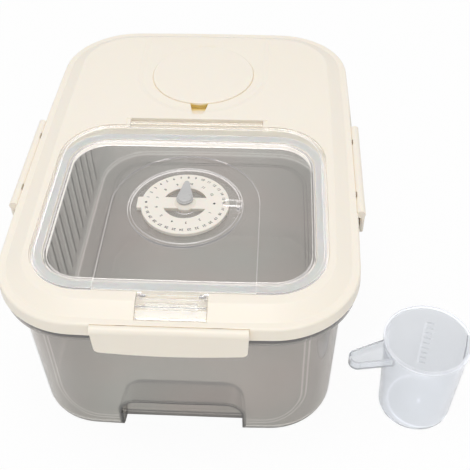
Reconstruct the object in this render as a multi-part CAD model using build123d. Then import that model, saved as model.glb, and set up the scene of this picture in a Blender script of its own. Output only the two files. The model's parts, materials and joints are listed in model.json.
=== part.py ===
from build123d import *
from math import asin, atan2, cos, degrees, hypot, sin, sqrt
import os

# Rice storage box, in millimetres.
# Origin: centre of the container's underside. X to the right, Y to the back, Z up.
# The front is the side with the hand grip and the clear tab.

# Plan outline of the lid, which every parallel outline is taken from
lid_width = 258.0
lid_length = 364.0
lid_corner = 62.0
side_bow = 3.5

# Container
container_height = 131.0
wall_lean = 3.4
wall = 2.5
floor_thickness = 3.0
base_rounding = 7.0
mouth_inset = 10.75
flange_inset = 1.5
flange_drop = 4.0
flange_height = 5.5
flange_plate = 2.4
flange_lip = 2.5
flange_rounding = 1.0
foot_ring_inset = 16.0
foot_ring_width = 3.0
foot_ring_depth = 0.6

# Hand grip at the front foot
grip_width = 94.0
grip_height = 37.0
grip_corner = 14.0
grip_back_width = 89.0
grip_back_height = 31.0
grip_back_at_foot = 12.0
grip_back_at_ceiling = 20.5

# Flutes on the two long walls
flute_count = 13
flute_pitch = 17.0
flute_half_width = 11.0
flute_reach = 10.7
flute_depth = 0.9
flute_low = 16.0
flute_top_gap = 9.5

# Lid shell
skirt_gap = 1.9
skirt_thickness = 2.3
skirt_draft = 0.7
ledge_rise = 8.0
ledge_inner_inset = 6.5
ledge_rounding = 1.7
crown_rise = 5.5
crown_inset = 11.5
crown_rounding = 3.0
crown_wall_inset = 2.0
lid_sheet = 2.5
roof_rise = 5.5
channel_wall = 2.0
channel_side_gap = 1.5
channel_lap = 2.5
plug_wall = 2.0
plug_gap = 1.0
plug_depth = 7.0

# Seal between lid and rim
seal_side_gap = 0.15
seal_top_gap = 0.1
seal_lap = 0.8
seal_lap_gap = 0.2

# Flip lid
flip_side_margin = 24.3
flip_front_margin = 27.4
cap_field_length = 155.6
flip_corner = 39.5
flip_bow = 0.7
flip_edge_gap = 0.8
flip_rear_gap = 1.6
flip_sink = 2.9
flip_seat_gap = 0.3
flip_sheet = 2.6
flip_bead_width = 3.0
flip_bead_height = 0.9
flip_bead_rounding = 0.8
seat_thickness = 2.3
seat_lap = 2.5

# Window under the flip lid
window_side_inset = 8.4
window_front_inset = 9.4
window_back_inset = 17.1
window_corner = 30.0
window_bow = 0.5
collar_thickness = 2.0
collar_depth = 5.6
flip_plug_gap = 0.8
flip_plug_thickness = 1.8
flip_plug_depth = 4.2

# Ring seal of the flip lid
flip_seal_offset = 0.8
flip_seal_width = 6.4
flip_seal_groove = 0.8
flip_seal_gap = 0.1

# Hinge of the flip lid
hinge_setback = 4.9
hinge_drop = 0.3
hinge_barrel_radius = 2.9
hinge_half_length = 54.5
hinge_arm_thickness = 2.2
hinge_block_length = 3.2
hinge_block_drop = 0.4
hinge_end_gap = 0.4
hinge_slot_reach = 5.6
hinge_slot_clearance = 0.6
hinge_slot_wall = 2.0
hinge_pin_radius = 1.5
hinge_pin_end_gap = 0.2
running_gap = 0.05

# Dial well and arch step in the flip lid
dial_setback = 87.6
well_margin = 8.1
well_depth = 2.9
well_floor_thickness = 2.0
well_wall_thickness = 2.0
arch_margin = 14.5
arch_step = 1.0

# Dial ring
dial_radius = 32.7
dial_hole_radius = 16.5
dial_thickness = 2.9
dial_lift = 0.6
dial_bar_width = 12.0
dial_hub_radius = 8.0
dial_hub_top_radius = 5.8
dial_hub_rise = 3.1
dial_hub_rounding = 1.5
dial_nub_reach = 3.0
dial_nub_width = 12.0
dial_nub_rounding = 1.2
dial_rest_radius = 8.7
dial_rest_gap = 0.1
dial_rounding = 0.5
post_radius = 3.0

# Pointer
pointer_hub_radius = 6.2
pointer_reach = 19.5
pointer_tip_radius = 2.0
pointer_thickness = 1.5
pointer_rounding = 0.5
pointer_dome = 1.4
pointer_dome_inset = 0.8
pointer_gap = 3.5
pointer_shaft_radius = 1.5
pointer_shaft_length = 7.4
pointer_end_gap = 0.3

# Clear index over the dial's edge
index_overlap = 5.2
index_root_gap = 5.7
index_width = 6.0
index_thickness = 1.2
index_gap = 0.4

# Snap tab on the flip lid's front
tab_half_width = 23.4
tab_axis_reach = 2.6
tab_axis_rise = 0.8
tab_cheek = 2.0
tab_barrel_radius = 1.9
tab_ear = 3.0
tab_ear_gap = 0.4
tab_pin_radius = 0.8
tab_pin_end_gap = 0.1
tab_plate_gap = 4.0
tab_plate_length = 7.4
tab_plate_rise = 0.6
tab_plate_thickness = 2.2
tab_front_rounding = 1.6
tab_lip_length = 5.8
tab_lip_step = 3.2
tab_lip_drop = 1.6
tab_lip_thickness = 1.5
hook_rib_thickness = 1.4
hook_rib_depth = 6.2
hook_rib_end = 6.0
hook_bead = 0.5
hook_bead_gap = 0.2
pocket_shelf = 2.2
pocket_front_gap = 1.2
pocket_side_gap = 0.7
pocket_wall = 2.0
pocket_floor_thickness = 1.1
tongue_gap = 0.5

# Round cap and its well
cap_radius = 44.3
cap_back_margin = 78.5
cap_gap = 0.5
cap_rise = 0.6
cap_flange = 2.6
cap_seat_gap = 0.1
cap_seat_wall = 2.0
cap_rounding = 1.0
cap_plug_gap = 1.6
cap_plug_thickness = 2.0
cap_plug_depth = 12.1
cap_seal_rise = 2.4
cap_seal_height = 3.0
cap_seal_groove = 1.0
cap_seal_gap = 0.3
cap_seal_end_gap = 0.1
cap_seal_crest = 0.8
cap_well_margin = 3.9
cap_well_wall = 2.0
cap_well_depth = 18.0
cap_well_floor = 2.0
slot_count = 12
slot_inner = 12.0
slot_outer = 32.0
slot_width = 3.2
apron_margin = 13.0
apron_slope = 4.0
apron_step = 0.8
notch_half_width = 7.5
notch_tip_half_width = 4.5
notch_tip_rounding = 2.5
notch_length = 15.6
notch_depth = 4.4
notch_wall = 2.0

# Latches
latch_half_length = 52.0
latch_stand = 4.6
latch_plate = 2.0
latch_barrel_radius = 3.4
latch_axis_rise = 0.3
latch_barrel_gap = 0.4
latch_drop = 6.5
latch_bottom_arch = 2.0
latch_taper = 1.0
latch_corner = 4.0
latch_cheek = 1.6
latch_cheek_inset = 0.3
latch_cheek_reach = 2.4
hook_catch = 1.2
hook_drop = 1.4
hook_shelf = 2.0
hook_end_inset = 3.5
latch_edge_rounding = 0.7
lug_center = 32.0
lug_width = 6.0
lug_radius = 2.1
lug_gap = 0.4
lug_neck = 2.0
lug_foot_drop = 5.4
lug_foot_height = 2.0
lug_foot_reach = 1.5
lug_way_rise = 2.6
lug_seat_lift = 2.6
lug_seat_margin = 3.0
latch_pin_radius = 1.2
latch_pin_inset = 6.0
side_latch_y = -14.5

# Measuring cup, standing at the right of the box's front corner
cup_side_gap = 51.0
cup_front_setback = 48.0
cup_height = 78.0
cup_top_radius = 31.0
cup_base_radius = 27.5
cup_wall = 1.5
cup_floor = 1.8
cup_rim = 1.0
cup_rim_height = 2.0
cup_base_rounding = 3.0
cup_inner_rounding = 2.0
cup_foot_radius = 22.0
cup_foot_depth = 0.8
spout_angle = -4.0
spout_radius = 9.0
spout_foot_radius = 1.6
spout_reach = 5.0
spout_height = 20.0
handle_angle = 197.0
handle_length = 29.0
handle_overlap = 2.5
handle_root_width = 20.0
handle_tip_width = 13.0
handle_height = 8.0
handle_wall = 1.6
handle_drop = 3.0
handle_rounding = 1.2
scale_angle = 82.0
scale_low = 14.0
scale_top_gap = 12.0
scale_rib = 1.0
scale_relief = 0.6
scale_tick_count = 9
scale_tick_length = 6.0
scale_tick_width = 0.8

# How far a piece is sunk into the one that it is joined to, so that they become one solid
joint_lap = 0.5

# Heights that follow from the sizes above
rim_top = container_height
flange_top = rim_top - flange_drop
flange_bottom = flange_top - flange_height
skirt_bottom = flange_top + skirt_gap
roof_height = rim_top + roof_rise
ledge_height = rim_top + ledge_rise
lid_top = ledge_height + crown_rise
sheet_bottom = lid_top - lid_sheet
channel_bottom = rim_top - channel_lap
plug_bottom = rim_top - plug_depth
flip_bottom = lid_top - flip_sink
flip_top = flip_bottom + flip_sheet
seat_top = flip_bottom - flip_seat_gap
collar_bottom = seat_top - collar_depth
hinge_height = flip_bottom - hinge_drop
hinge_slot_floor = hinge_height - hinge_barrel_radius - hinge_slot_clearance
arch_top = flip_top - arch_step
well_floor_top = flip_top - well_depth
dial_bottom = well_floor_top + dial_lift
dial_top = dial_bottom + dial_thickness
pointer_bottom = dial_top + pointer_gap
pointer_shaft_bottom = pointer_bottom - pointer_shaft_length
index_bottom = dial_top + index_gap
tab_axis_height = flip_bottom + tab_axis_rise
tab_plate_top = flip_top + tab_plate_rise
tab_lip_top = tab_plate_top - tab_lip_step
hook_rib_bottom = tab_plate_top - hook_rib_depth
pocket_floor = roof_height + pocket_floor_thickness
tongue_floor = tab_axis_height - tab_barrel_radius - tongue_gap
cap_top = lid_top + cap_rise
cap_seat_top = cap_top - cap_flange - cap_seat_gap
cap_plug_bottom = cap_top - cap_plug_depth
cap_seal_low = cap_plug_bottom + cap_seal_rise
cap_well_floor_top = lid_top - cap_well_depth
apron_top = lid_top - apron_step
notch_floor = cap_seat_top - notch_depth
latch_axis_height = roof_height + latch_axis_rise
latch_bottom = flange_bottom - latch_drop
hook_top = flange_bottom - hook_drop

# Insets, radii and places that follow from the sizes above
base_inset = mouth_inset + wall_lean
mouth_inner_inset = mouth_inset + wall
slope_inner_inset = ledge_inner_inset + crown_inset
channel_outer_inset = mouth_inset - channel_side_gap
plug_outer_inset = mouth_inner_inset + plug_gap
plug_inner_inset = plug_outer_inset + plug_wall
lid_front = -lid_length / 2
lid_back = lid_length / 2
flip_front = lid_front + flip_front_margin
flip_back = lid_back - cap_field_length
flip_length = flip_back - flip_front
flip_width = lid_width - 2 * flip_side_margin
flip_center_y = (flip_front + flip_back) / 2
window_front = flip_front + window_front_inset
window_back = flip_back - window_back_inset
window_width = flip_width - 2 * window_side_inset
hinge_y = flip_back + hinge_setback
hinge_slot_back = hinge_y + hinge_slot_reach
hinge_slot_end = hinge_half_length + hinge_end_gap + hinge_block_length
dial_y = flip_front + dial_setback
well_radius = dial_radius + well_margin
arch_radius = well_radius + arch_margin
index_reach = dial_radius - index_overlap
index_root = dial_radius + index_root_gap
tab_axis_y = flip_front - tab_axis_reach
tab_plate_back = tab_axis_y - tab_plate_gap
tab_plate_front = tab_plate_back - tab_plate_length
tab_lip_front = tab_plate_front - tab_lip_length
tab_ear_outer = tab_half_width - tab_cheek - tab_ear_gap
pocket_back = tab_plate_back - pocket_shelf
pocket_front = tab_lip_front - pocket_front_gap
cap_y = lid_back - cap_back_margin
cap_well_radius = cap_radius - cap_well_margin
cap_plug_radius = cap_well_radius - cap_plug_gap
apron_half_width = cap_radius + apron_margin
notch_tip_y = cap_y - cap_radius - notch_length
latch_pin_half_length = latch_half_length - latch_pin_inset
cup_x = lid_width / 2 + cup_side_gap
cup_y = lid_front + cup_front_setback


def bow_radius(half_chord, bow):
    """Radius of a side that bulges by bow over twice half_chord."""
    return (half_chord**2 + bow**2) / (2 * bow)


def toward(start, end, distance):
    """The point that lies at distance from start on the way to end."""
    length = hypot(end[0] - start[0], end[1] - start[1])
    return (
        start[0] + (end[0] - start[0]) * distance / length,
        start[1] + (end[1] - start[1]) * distance / length,
    )


def corner_centers(plan):
    """Centres of the right side's, the back side's and their corner's arcs, about the plan's middle."""
    width, length, corner, bow, middle_y = plan
    side_radius = bow_radius(length / 2 - bow, bow)
    end_radius = bow_radius(width / 2 - bow, bow)
    side = (width / 2 - side_radius, 0.0)
    end = (0.0, length / 2 - end_radius)
    apart = hypot(end[0] - side[0], end[1] - side[1])
    reach = side_radius - corner
    along = (reach**2 - (end_radius - corner) ** 2 + apart**2) / (2 * apart)
    across = sqrt(reach**2 - along**2)
    foot = toward(side, end, along)
    slope = ((end[0] - side[0]) / apart, (end[1] - side[1]) / apart)
    corner_point = (foot[0] + slope[1] * across, foot[1] - slope[0] * across)
    if corner_point[0] < 0:
        corner_point = (foot[0] - slope[1] * across, foot[1] + slope[0] * across)
    return side, end, corner_point


def parallel(plan, inward):
    """The plan's outline set in by inward on every side: four bowed sides and four round corners."""
    width, length, corner, bow, middle_y = plan
    side, end, center = corner_centers(plan)
    side_radius = bow_radius(length / 2 - bow, bow)
    end_radius = bow_radius(width / 2 - bow, bow)
    low = toward(side, center, side_radius - inward)
    high = toward(end, center, end_radius - inward)
    chord_middle = ((low[0] + high[0]) / 2, (low[1] + high[1]) / 2)
    crest = toward(center, chord_middle, corner - inward)
    x = width / 2 - inward
    y = length / 2 - inward
    edges = []
    for sx, sy in ((1, 1), (-1, 1), (-1, -1), (1, -1)):
        points = [(sx * p[0], sy * p[1]) for p in (low, crest, high)]
        edges.append(ThreePointArc(*points))
    for sx in (1, -1):
        edges.append(ThreePointArc((sx * low[0], -low[1]), (sx * x, 0), (sx * low[0], low[1])))
    for sy in (1, -1):
        edges.append(ThreePointArc((-high[0], sy * high[1]), (0, sy * y), (high[0], sy * high[1])))
    return Pos(0, middle_y) * make_face(edges)


def slab(outline, low, high):
    """The outline as a straight plate between two heights."""
    return extrude(Pos(0, 0, low) * outline, amount=high - low, dir=(0, 0, 1))


def band(plan, outer, inner, low, high):
    """A wall between two outlines parallel to the plan's."""
    return slab(parallel(plan, outer), low, high) - slab(parallel(plan, inner), low, high)


def tapered(plan, low_inset, low, high_inset, high):
    """A solid whose outline goes evenly from one inset of the plan to another."""
    slope = degrees(atan2(high_inset - low_inset, high - low))
    face = Pos(0, 0, low) * parallel(plan, low_inset)
    return extrude(face, amount=high - low, dir=(0, 0, 1), taper=slope)


def block(x0, x1, y0, y1, z0, z1):
    """A box given by its limits."""
    place = Pos((x0 + x1) / 2, (y0 + y1) / 2, (z0 + z1) / 2)
    return place * Box(x1 - x0, y1 - y0, z1 - z0)


def rod(radius, x0, x1, y, z):
    """A round bar along X."""
    place = Pos((x0 + x1) / 2, y, z) * Rot(0, 90, 0)
    return place * Cylinder(radius, x1 - x0)


def disc(radius, y, low, high):
    """A round plate about a vertical axis on the centre line."""
    return Pos(0, y, (low + high) / 2) * Cylinder(radius, high - low)


# Plans: width, length, corner radius, bow of the sides, and the middle's place along Y
lid_plan = (lid_width, lid_length, lid_corner, side_bow, 0.0)
flip_plan = (flip_width, flip_length, flip_corner, flip_bow, flip_center_y)
window_plan = (
    window_width, window_back - window_front, window_corner, window_bow, (window_back + window_front) / 2
)


def turned(points, y):
    """A solid of revolution about the vertical line at y, from radius and height pairs."""
    face = make_face(Polyline(*points, close=True))
    return Pos(0, y, 0) * revolve(Plane.XZ * face, axis=Axis.Z)


def side_x(inward, y):
    """How far out the long side lies at y, for the lid's outline set in by inward."""
    radius = bow_radius(lid_length / 2 - side_bow, side_bow)
    return lid_width / 2 - radius + sqrt((radius - inward) ** 2 - y**2)


# Container

def grip_recess(margin):
    """The hand grip: an arched pocket whose back wall leans, grown by margin on every side."""
    front_y = lid_front
    foot_y = lid_front + base_inset + grip_back_at_foot
    ceiling_y = lid_front + base_inset + grip_back_at_ceiling
    sections = []
    for y, width, height in (
        (front_y, grip_width, grip_height),
        (ceiling_y + margin, grip_back_width, grip_back_height),
    ):
        w = width / 2 + margin
        h = height + margin
        outline = Polyline((-w, -h), (w, -h), (w, h), (-w, h), close=True)
        face = fillet(make_face(outline).vertices(), grip_corner + margin)
        sections.append(Plane((0, y, 0), x_dir=(1, 0, 0), z_dir=(0, 1, 0)) * face)
    pocket = loft(sections, ruled=True)
    lean = (ceiling_y - foot_y) / grip_back_height
    reach = 2 * grip_height
    corners = (
        (front_y - margin, -reach),
        (foot_y + margin - lean * reach, -reach),
        (foot_y + margin + lean * reach, reach),
        (front_y - margin, reach),
    )
    side = make_face(Polyline(*corners, close=True))
    keep = extrude(Plane.YZ * side, amount=grip_width, both=True)
    return pocket & keep


def flutes():
    """Upright grooves down both long walls, leaning with the wall."""
    grooves = []
    height = flange_bottom - flute_top_gap - flute_low
    for step in range(flute_count):
        y = (step - (flute_count - 1) / 2) * flute_pitch
        foot = side_x(base_inset, y)
        top = side_x(mouth_inset, y)
        lean = (top - foot) / flange_bottom
        low_x = foot + lean * flute_low + flute_reach - flute_depth
        for side in (-1, 1):
            axis = Vector(side * lean, 0, 1)
            frame = Plane(origin=(side * low_x, y, flute_low), x_dir=(0, 1, 0), z_dir=axis)
            grooves.append(frame * extrude(Ellipse(flute_half_width, flute_reach), amount=height))
    return grooves


def container():
    """The see-through box with its flange, grip, flutes and foot ring."""
    outer = tapered(lid_plan, base_inset, 0, mouth_inset, flange_bottom)
    outer = fillet(outer.edges().group_by(Axis.Z)[0], base_rounding)
    hollow = tapered(lid_plan, base_inset + wall, floor_thickness, mouth_inner_inset, flange_bottom)
    hollow = fillet(hollow.edges().group_by(Axis.Z)[0], base_rounding - wall)
    hollow = hollow - grip_recess(wall)
    body = outer - hollow - grip_recess(0)
    for groove in flutes():
        body = body - groove
    rim = band(lid_plan, mouth_inset, mouth_inner_inset, flange_bottom, rim_top)
    plate_low = flange_top - flange_plate
    flange = slab(parallel(lid_plan, flange_inset), flange_bottom, flange_top)
    flange = fillet(flange.edges().group_by(Axis.Z)[-1], flange_rounding)
    flange = flange - slab(parallel(lid_plan, flange_inset + flange_lip), flange_bottom, plate_low)
    flange = flange - slab(parallel(lid_plan, mouth_inset), flange_bottom, flange_top)
    ring_inset = base_inset + foot_ring_inset
    groove = band(lid_plan, ring_inset, ring_inset + foot_ring_width, 0, foot_ring_depth)
    return body + rim + flange - groove


# Latches and their seats on the lid

def latch_sides():
    """Each side's name, turn about Z, reach of the lid there, half chord and shift along it."""
    half_width = lid_width / 2
    half_length = lid_length / 2
    return (
        ("front", 0, half_length, half_width - side_bow, 0),
        ("right", 90, half_width, half_length - side_bow, side_latch_y),
        ("left", -90, half_width, half_length - side_bow, -side_latch_y),
    )


def latch_axis_y(reach):
    """Where the hinge axis lies, on a side that is drawn as the front."""
    return -(reach + latch_stand - latch_barrel_radius)


def curved_strip(reach, half_chord, outward, inward, shift, half_length, low, high):
    """An upright strip that follows the bowed side, between two distances from it."""
    radius = bow_radius(half_chord, side_bow)
    center = (0, -reach + radius)
    ring = Pos(*center) * Circle(radius + outward) - Pos(*center) * Circle(radius - inward)
    middle_y = -reach + (inward - outward) / 2
    window = Pos(shift, middle_y) * Rectangle(2 * half_length, 4 * (outward + inward))
    return slab(ring & window, low, high)


def latch(reach, half_chord, shift):
    """One latch, drawn at the front: barrel, bowed plate, end cheeks and hook shelf."""
    axis_y = latch_axis_y(reach)
    plate = curved_strip(
        reach, half_chord, latch_stand, latch_plate - latch_stand, shift,
        latch_half_length, latch_bottom - latch_bottom_arch, latch_axis_height,
    )
    low = latch_half_length - latch_taper
    bottom = latch_bottom + latch_bottom_arch
    top = latch_axis_height + joint_lap
    edge = [
        Line((low, bottom), (latch_half_length, top)),
        Line((latch_half_length, top), (-latch_half_length, top)),
        Line((-latch_half_length, top), (-low, bottom)),
        ThreePointArc((-low, bottom), (0, latch_bottom), (low, bottom)),
    ]
    face = make_face(edge)
    face = fillet(face.vertices().sort_by(Axis.Y)[0:2], latch_corner)
    depth = 4 * latch_stand
    shape = Pos(shift, depth - reach, 0) * extrude(Plane.XZ * face, amount=2 * depth)
    plate = plate & shape
    plate = plate.solids()[0]
    outer_face = plate.faces().sort_by(Axis.Y)[0]
    rim_edges = [edge for edge in outer_face.edges() if edge.center().Z < latch_axis_height - joint_lap]
    plate = fillet(rim_edges, latch_edge_rounding)
    shelf = curved_strip(
        reach, half_chord, latch_stand - latch_plate / 2, flange_inset + hook_catch, shift,
        low - hook_end_inset, hook_top - hook_shelf, hook_top,
    )
    body = plate + shelf
    cheek_y = -(reach + latch_stand - latch_plate / 2)
    for side in (-1, 1):
        end = shift + side * (low - latch_cheek_inset)
        inner = end - side * latch_cheek
        body = body + block(
            min(end, inner), max(end, inner), cheek_y, cheek_y + latch_cheek_reach,
            hook_top - hook_shelf, latch_axis_height,
        )
    body = body + rod(
        latch_barrel_radius, shift - latch_half_length, shift + latch_half_length, axis_y, latch_axis_height
    )
    slot = lug_width / 2 + lug_gap
    reach_in = latch_barrel_radius + latch_barrel_gap
    plate_inner_y = -(reach + latch_stand - latch_plate)
    for side in (-1, 1):
        x = shift + side * lug_center
        body = body - rod(lug_radius + lug_gap, x - slot, x + slot, axis_y, latch_axis_height)
        body = body - block(
            x - slot, x + slot, plate_inner_y, axis_y + reach_in,
            latch_axis_height - reach_in, latch_axis_height,
        )
        body = body - block(
            x - slot, x + slot, axis_y, axis_y + reach_in,
            latch_axis_height, latch_axis_height + lug_way_rise,
        )
    bore = latch_pin_half_length + joint_lap
    return body - rod(latch_pin_radius + running_gap, shift - bore, shift + bore, axis_y, latch_axis_height)


def latch_seat(reach, half_chord, shift):
    """What the lid has behind a latch: a thick seat and two hinge lugs that rise into the barrel."""
    axis_y = latch_axis_y(reach)
    seat_inset = channel_outer_inset
    seat = curved_strip(
        reach, half_chord, -skirt_thickness / 2, seat_inset, shift,
        latch_half_length + lug_seat_margin, skirt_bottom + lug_seat_lift, roof_height + joint_lap,
    )
    lugs = []
    for side in (-1, 1):
        x = shift + side * lug_center
        x0 = x - lug_width / 2
        x1 = x + lug_width / 2
        foot_low = latch_axis_height - lug_foot_drop
        eye = rod(lug_radius, x0, x1, axis_y, latch_axis_height)
        neck = block(x0, x1, axis_y - lug_neck / 2, axis_y + lug_neck / 2, foot_low, latch_axis_height)
        foot = block(
            x0, x1, axis_y - lug_neck / 2, lug_foot_reach - reach, foot_low, foot_low + lug_foot_height
        )
        lugs.append(eye + neck + foot)
    return seat, lugs


def latch_clearance(reach, shift):
    """The hollow that the latch barrel turns in."""
    length = latch_half_length + lug_gap
    return rod(
        latch_barrel_radius + latch_barrel_gap, shift - length, shift + length,
        latch_axis_y(reach), latch_axis_height,
    )


def latch_pin(reach, shift):
    """The hinge rod of one latch."""
    length = latch_pin_half_length
    return rod(latch_pin_radius, shift - length, shift + length, latch_axis_y(reach), latch_axis_height)


# Main lid

def lid_shell():
    """Skirt, ledge, slope and crown, hollow underneath, with seal channel and inner wall."""
    skirt = tapered(lid_plan, 0, skirt_bottom, skirt_draft, ledge_height)
    skirt = fillet(skirt.edges().group_by(Axis.Z)[-1], ledge_rounding)
    crown = tapered(lid_plan, ledge_inner_inset, ledge_height, slope_inner_inset, lid_top)
    crown = fillet(crown.edges().group_by(Axis.Z)[-1], crown_rounding)
    outer = skirt + crown
    under = slab(parallel(lid_plan, skirt_thickness), skirt_bottom, roof_height)
    under = under + tapered(
        lid_plan, plug_inner_inset, roof_height, slope_inner_inset + crown_wall_inset, sheet_bottom
    )
    shell = outer - under
    channel = band(
        lid_plan, channel_outer_inset - channel_wall, channel_outer_inset, channel_bottom, roof_height
    )
    plug = band(lid_plan, plug_outer_inset, plug_inner_inset, plug_bottom, roof_height)
    return shell + channel + plug


def flip_seat():
    """Plan of the seat that the flip lid drops into, with its clearances."""
    length = flip_length + flip_edge_gap + flip_rear_gap
    center = flip_center_y + (flip_rear_gap - flip_edge_gap) / 2
    width = flip_width + 2 * flip_edge_gap
    return (width, length, flip_corner + flip_edge_gap, flip_bow, center)


def lid_supports():
    """Thicker stretches under the crown that the pockets are sunk into."""
    under = sheet_bottom + joint_lap
    seat = slab(parallel(flip_seat(), -seat_lap), seat_top - seat_thickness, under)
    collar = band(window_plan, -collar_thickness, 0, collar_bottom, seat_top)
    slot_x = hinge_slot_end + hinge_slot_wall
    trough = block(
        -slot_x, slot_x, flip_back - hinge_slot_wall, hinge_slot_back + hinge_slot_wall,
        hinge_slot_floor - hinge_slot_wall, under,
    )
    tab_reach = tab_half_width + pocket_side_gap + pocket_wall
    tab_front = pocket_front - pocket_wall / 2
    tab_box = block(-tab_reach, tab_reach, tab_front, flip_front, roof_height, under)
    within = slab(parallel(lid_plan, ledge_inner_inset), roof_height, ledge_height)
    within = within + tapered(lid_plan, ledge_inner_inset, ledge_height, slope_inner_inset, lid_top)
    tab_box = tab_box & within
    well = disc(cap_well_radius + cap_well_wall, cap_y, cap_well_floor_top - cap_well_floor, under)
    cap_seat = disc(cap_radius + cap_gap + cap_seat_wall, cap_y, cap_seat_top - cap_seat_wall, under)
    notch_box = block(
        -notch_half_width - notch_wall, notch_half_width + notch_wall,
        notch_tip_y - notch_wall, cap_y - cap_well_radius, notch_floor - notch_wall, under,
    )
    return (seat, collar, trough, tab_box, well, cap_seat, notch_box)


def apron():
    """The shallow U-shaped field round the cap, with sloping sides and open to the back edge."""
    foot = apron_half_width - apron_slope
    bowl = Pos(0, cap_y, lid_top - apron_step / 2) * Cone(foot, apron_half_width, apron_step)
    outline = Polyline(
        (-foot, apron_top), (foot, apron_top), (apron_half_width, lid_top), (-apron_half_width, lid_top),
        close=True,
    )
    way = Pos(0, lid_back, 0) * extrude(Plane.XZ * make_face(outline), amount=cap_back_margin)
    field = Pos(0, cap_y) * Circle(apron_half_width)
    field = field + Pos(0, cap_y + cap_back_margin / 2) * Rectangle(2 * apron_half_width, cap_back_margin)
    return bowl + way + slab(field, lid_top, cap_top)


def finger_notch():
    """The pocket that lets a fingertip reach under the cap's edge."""
    edge_y = cap_y - cap_radius
    inner_y = cap_y - cap_well_radius - cap_well_wall / 2
    outline = Polyline(
        (-notch_half_width, inner_y), (-notch_half_width, edge_y), (-notch_tip_half_width, notch_tip_y),
        (notch_tip_half_width, notch_tip_y), (notch_half_width, edge_y), (notch_half_width, inner_y),
        close=True,
    )
    face = make_face(outline)
    tips = face.vertices().sort_by(Axis.Y)[0:2]
    return slab(fillet(tips, notch_tip_rounding), notch_floor, cap_top)


def lid_pockets():
    """Everything sunk into the lid from above."""
    seat = slab(parallel(flip_seat(), 0), seat_top, cap_top)
    window = slab(parallel(window_plan, 0), collar_bottom, cap_top)
    slot_front = flip_back - joint_lap
    slot = block(-hinge_slot_end, hinge_slot_end, slot_front, hinge_slot_back, hinge_slot_floor, cap_top)
    cap_seat = disc(cap_radius + cap_gap, cap_y, cap_seat_top, cap_top)
    well = disc(cap_well_radius, cap_y, cap_well_floor_top, lid_top)
    tab_x = tab_half_width + pocket_side_gap
    tongue = block(-tab_x, tab_x, pocket_back, flip_front, tongue_floor, cap_top)
    pocket = block(-tab_x, tab_x, pocket_front, pocket_back, pocket_floor, cap_top)
    return [seat, window, slot, cap_seat, well, tongue, pocket, apron(), finger_notch()]


def floor_slots():
    """Rounded slots through the well's floor, set in a ring."""
    middle = (slot_inner + slot_outer) / 2
    shape = SlotOverall(slot_outer - slot_inner, slot_width)
    slots = []
    for step in range(slot_count):
        turn = Rot(0, 0, 360 * step / slot_count)
        cut = slab(turn * Pos(middle, 0) * shape, cap_well_floor_top - cap_well_floor, cap_well_floor_top)
        slots.append(Pos(0, cap_y, 0) * cut)
    return slots


def hinge_blocks():
    """The two small end blocks that hold the flip lid's hinge rod."""
    blocks = []
    for side in (-1, 1):
        near = side * (hinge_slot_end - hinge_block_length)
        far = side * (hinge_slot_end + joint_lap)
        body = block(
            min(near, far), max(near, far), flip_back + flip_rear_gap, hinge_slot_back + joint_lap,
            hinge_slot_floor - joint_lap, hinge_height + hinge_barrel_radius - hinge_block_drop,
        )
        blocks.append(body)
    return blocks


def main_lid():
    """The cream lid."""
    lid = lid_shell()
    for part in lid_supports():
        lid = lid + part
    for name, turn, reach, half_chord, shift in latch_sides():
        seat, lugs = latch_seat(reach, half_chord, shift)
        lid = lid + Rot(0, 0, turn) * seat
    for pocket in lid_pockets():
        lid = lid - pocket
    for slot in floor_slots():
        lid = lid - slot
    for part in hinge_blocks():
        lid = lid + part
    pin_end = flip_pin_end() + hinge_pin_end_gap
    lid = lid - rod(hinge_pin_radius + running_gap, -pin_end, pin_end, hinge_y, hinge_height)
    for name, turn, reach, half_chord, shift in latch_sides():
        seat, lugs = latch_seat(reach, half_chord, shift)
        lid = lid - Rot(0, 0, turn) * latch_clearance(reach, shift)
        for lug in lugs:
            lid = lid + Rot(0, 0, turn) * lug
        half = latch_pin_half_length
        bore = rod(
            latch_pin_radius + running_gap, shift - half, shift + half, latch_axis_y(reach), latch_axis_height
        )
        lid = lid - Rot(0, 0, turn) * bore
    return lid


def lid_seal():
    """Silicone ring in the lid's channel, grooved to sit over the rim."""
    outer = channel_outer_inset + seal_side_gap
    inner = plug_outer_inset - seal_side_gap
    ring = band(lid_plan, outer, inner, rim_top - seal_lap, roof_height - seal_top_gap)
    groove = band(
        lid_plan, mouth_inset - seal_lap_gap, mouth_inner_inset + seal_lap_gap, rim_top - seal_lap, rim_top
    )
    return ring - groove


# Flip lid

def arch_field():
    """Plan of the arch step: a round head about the dial and straight sides to the front edge."""
    length = dial_y - flip_front + arch_margin
    field = Pos(0, dial_y) * Circle(arch_radius)
    return field + Pos(0, dial_y - length / 2) * Rectangle(2 * arch_radius, length)


def flip_seal_outlines():
    """Outer and inner offsets of the flip lid's ring seal from the window."""
    return flip_seal_offset + flip_seal_width, flip_seal_offset


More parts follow.
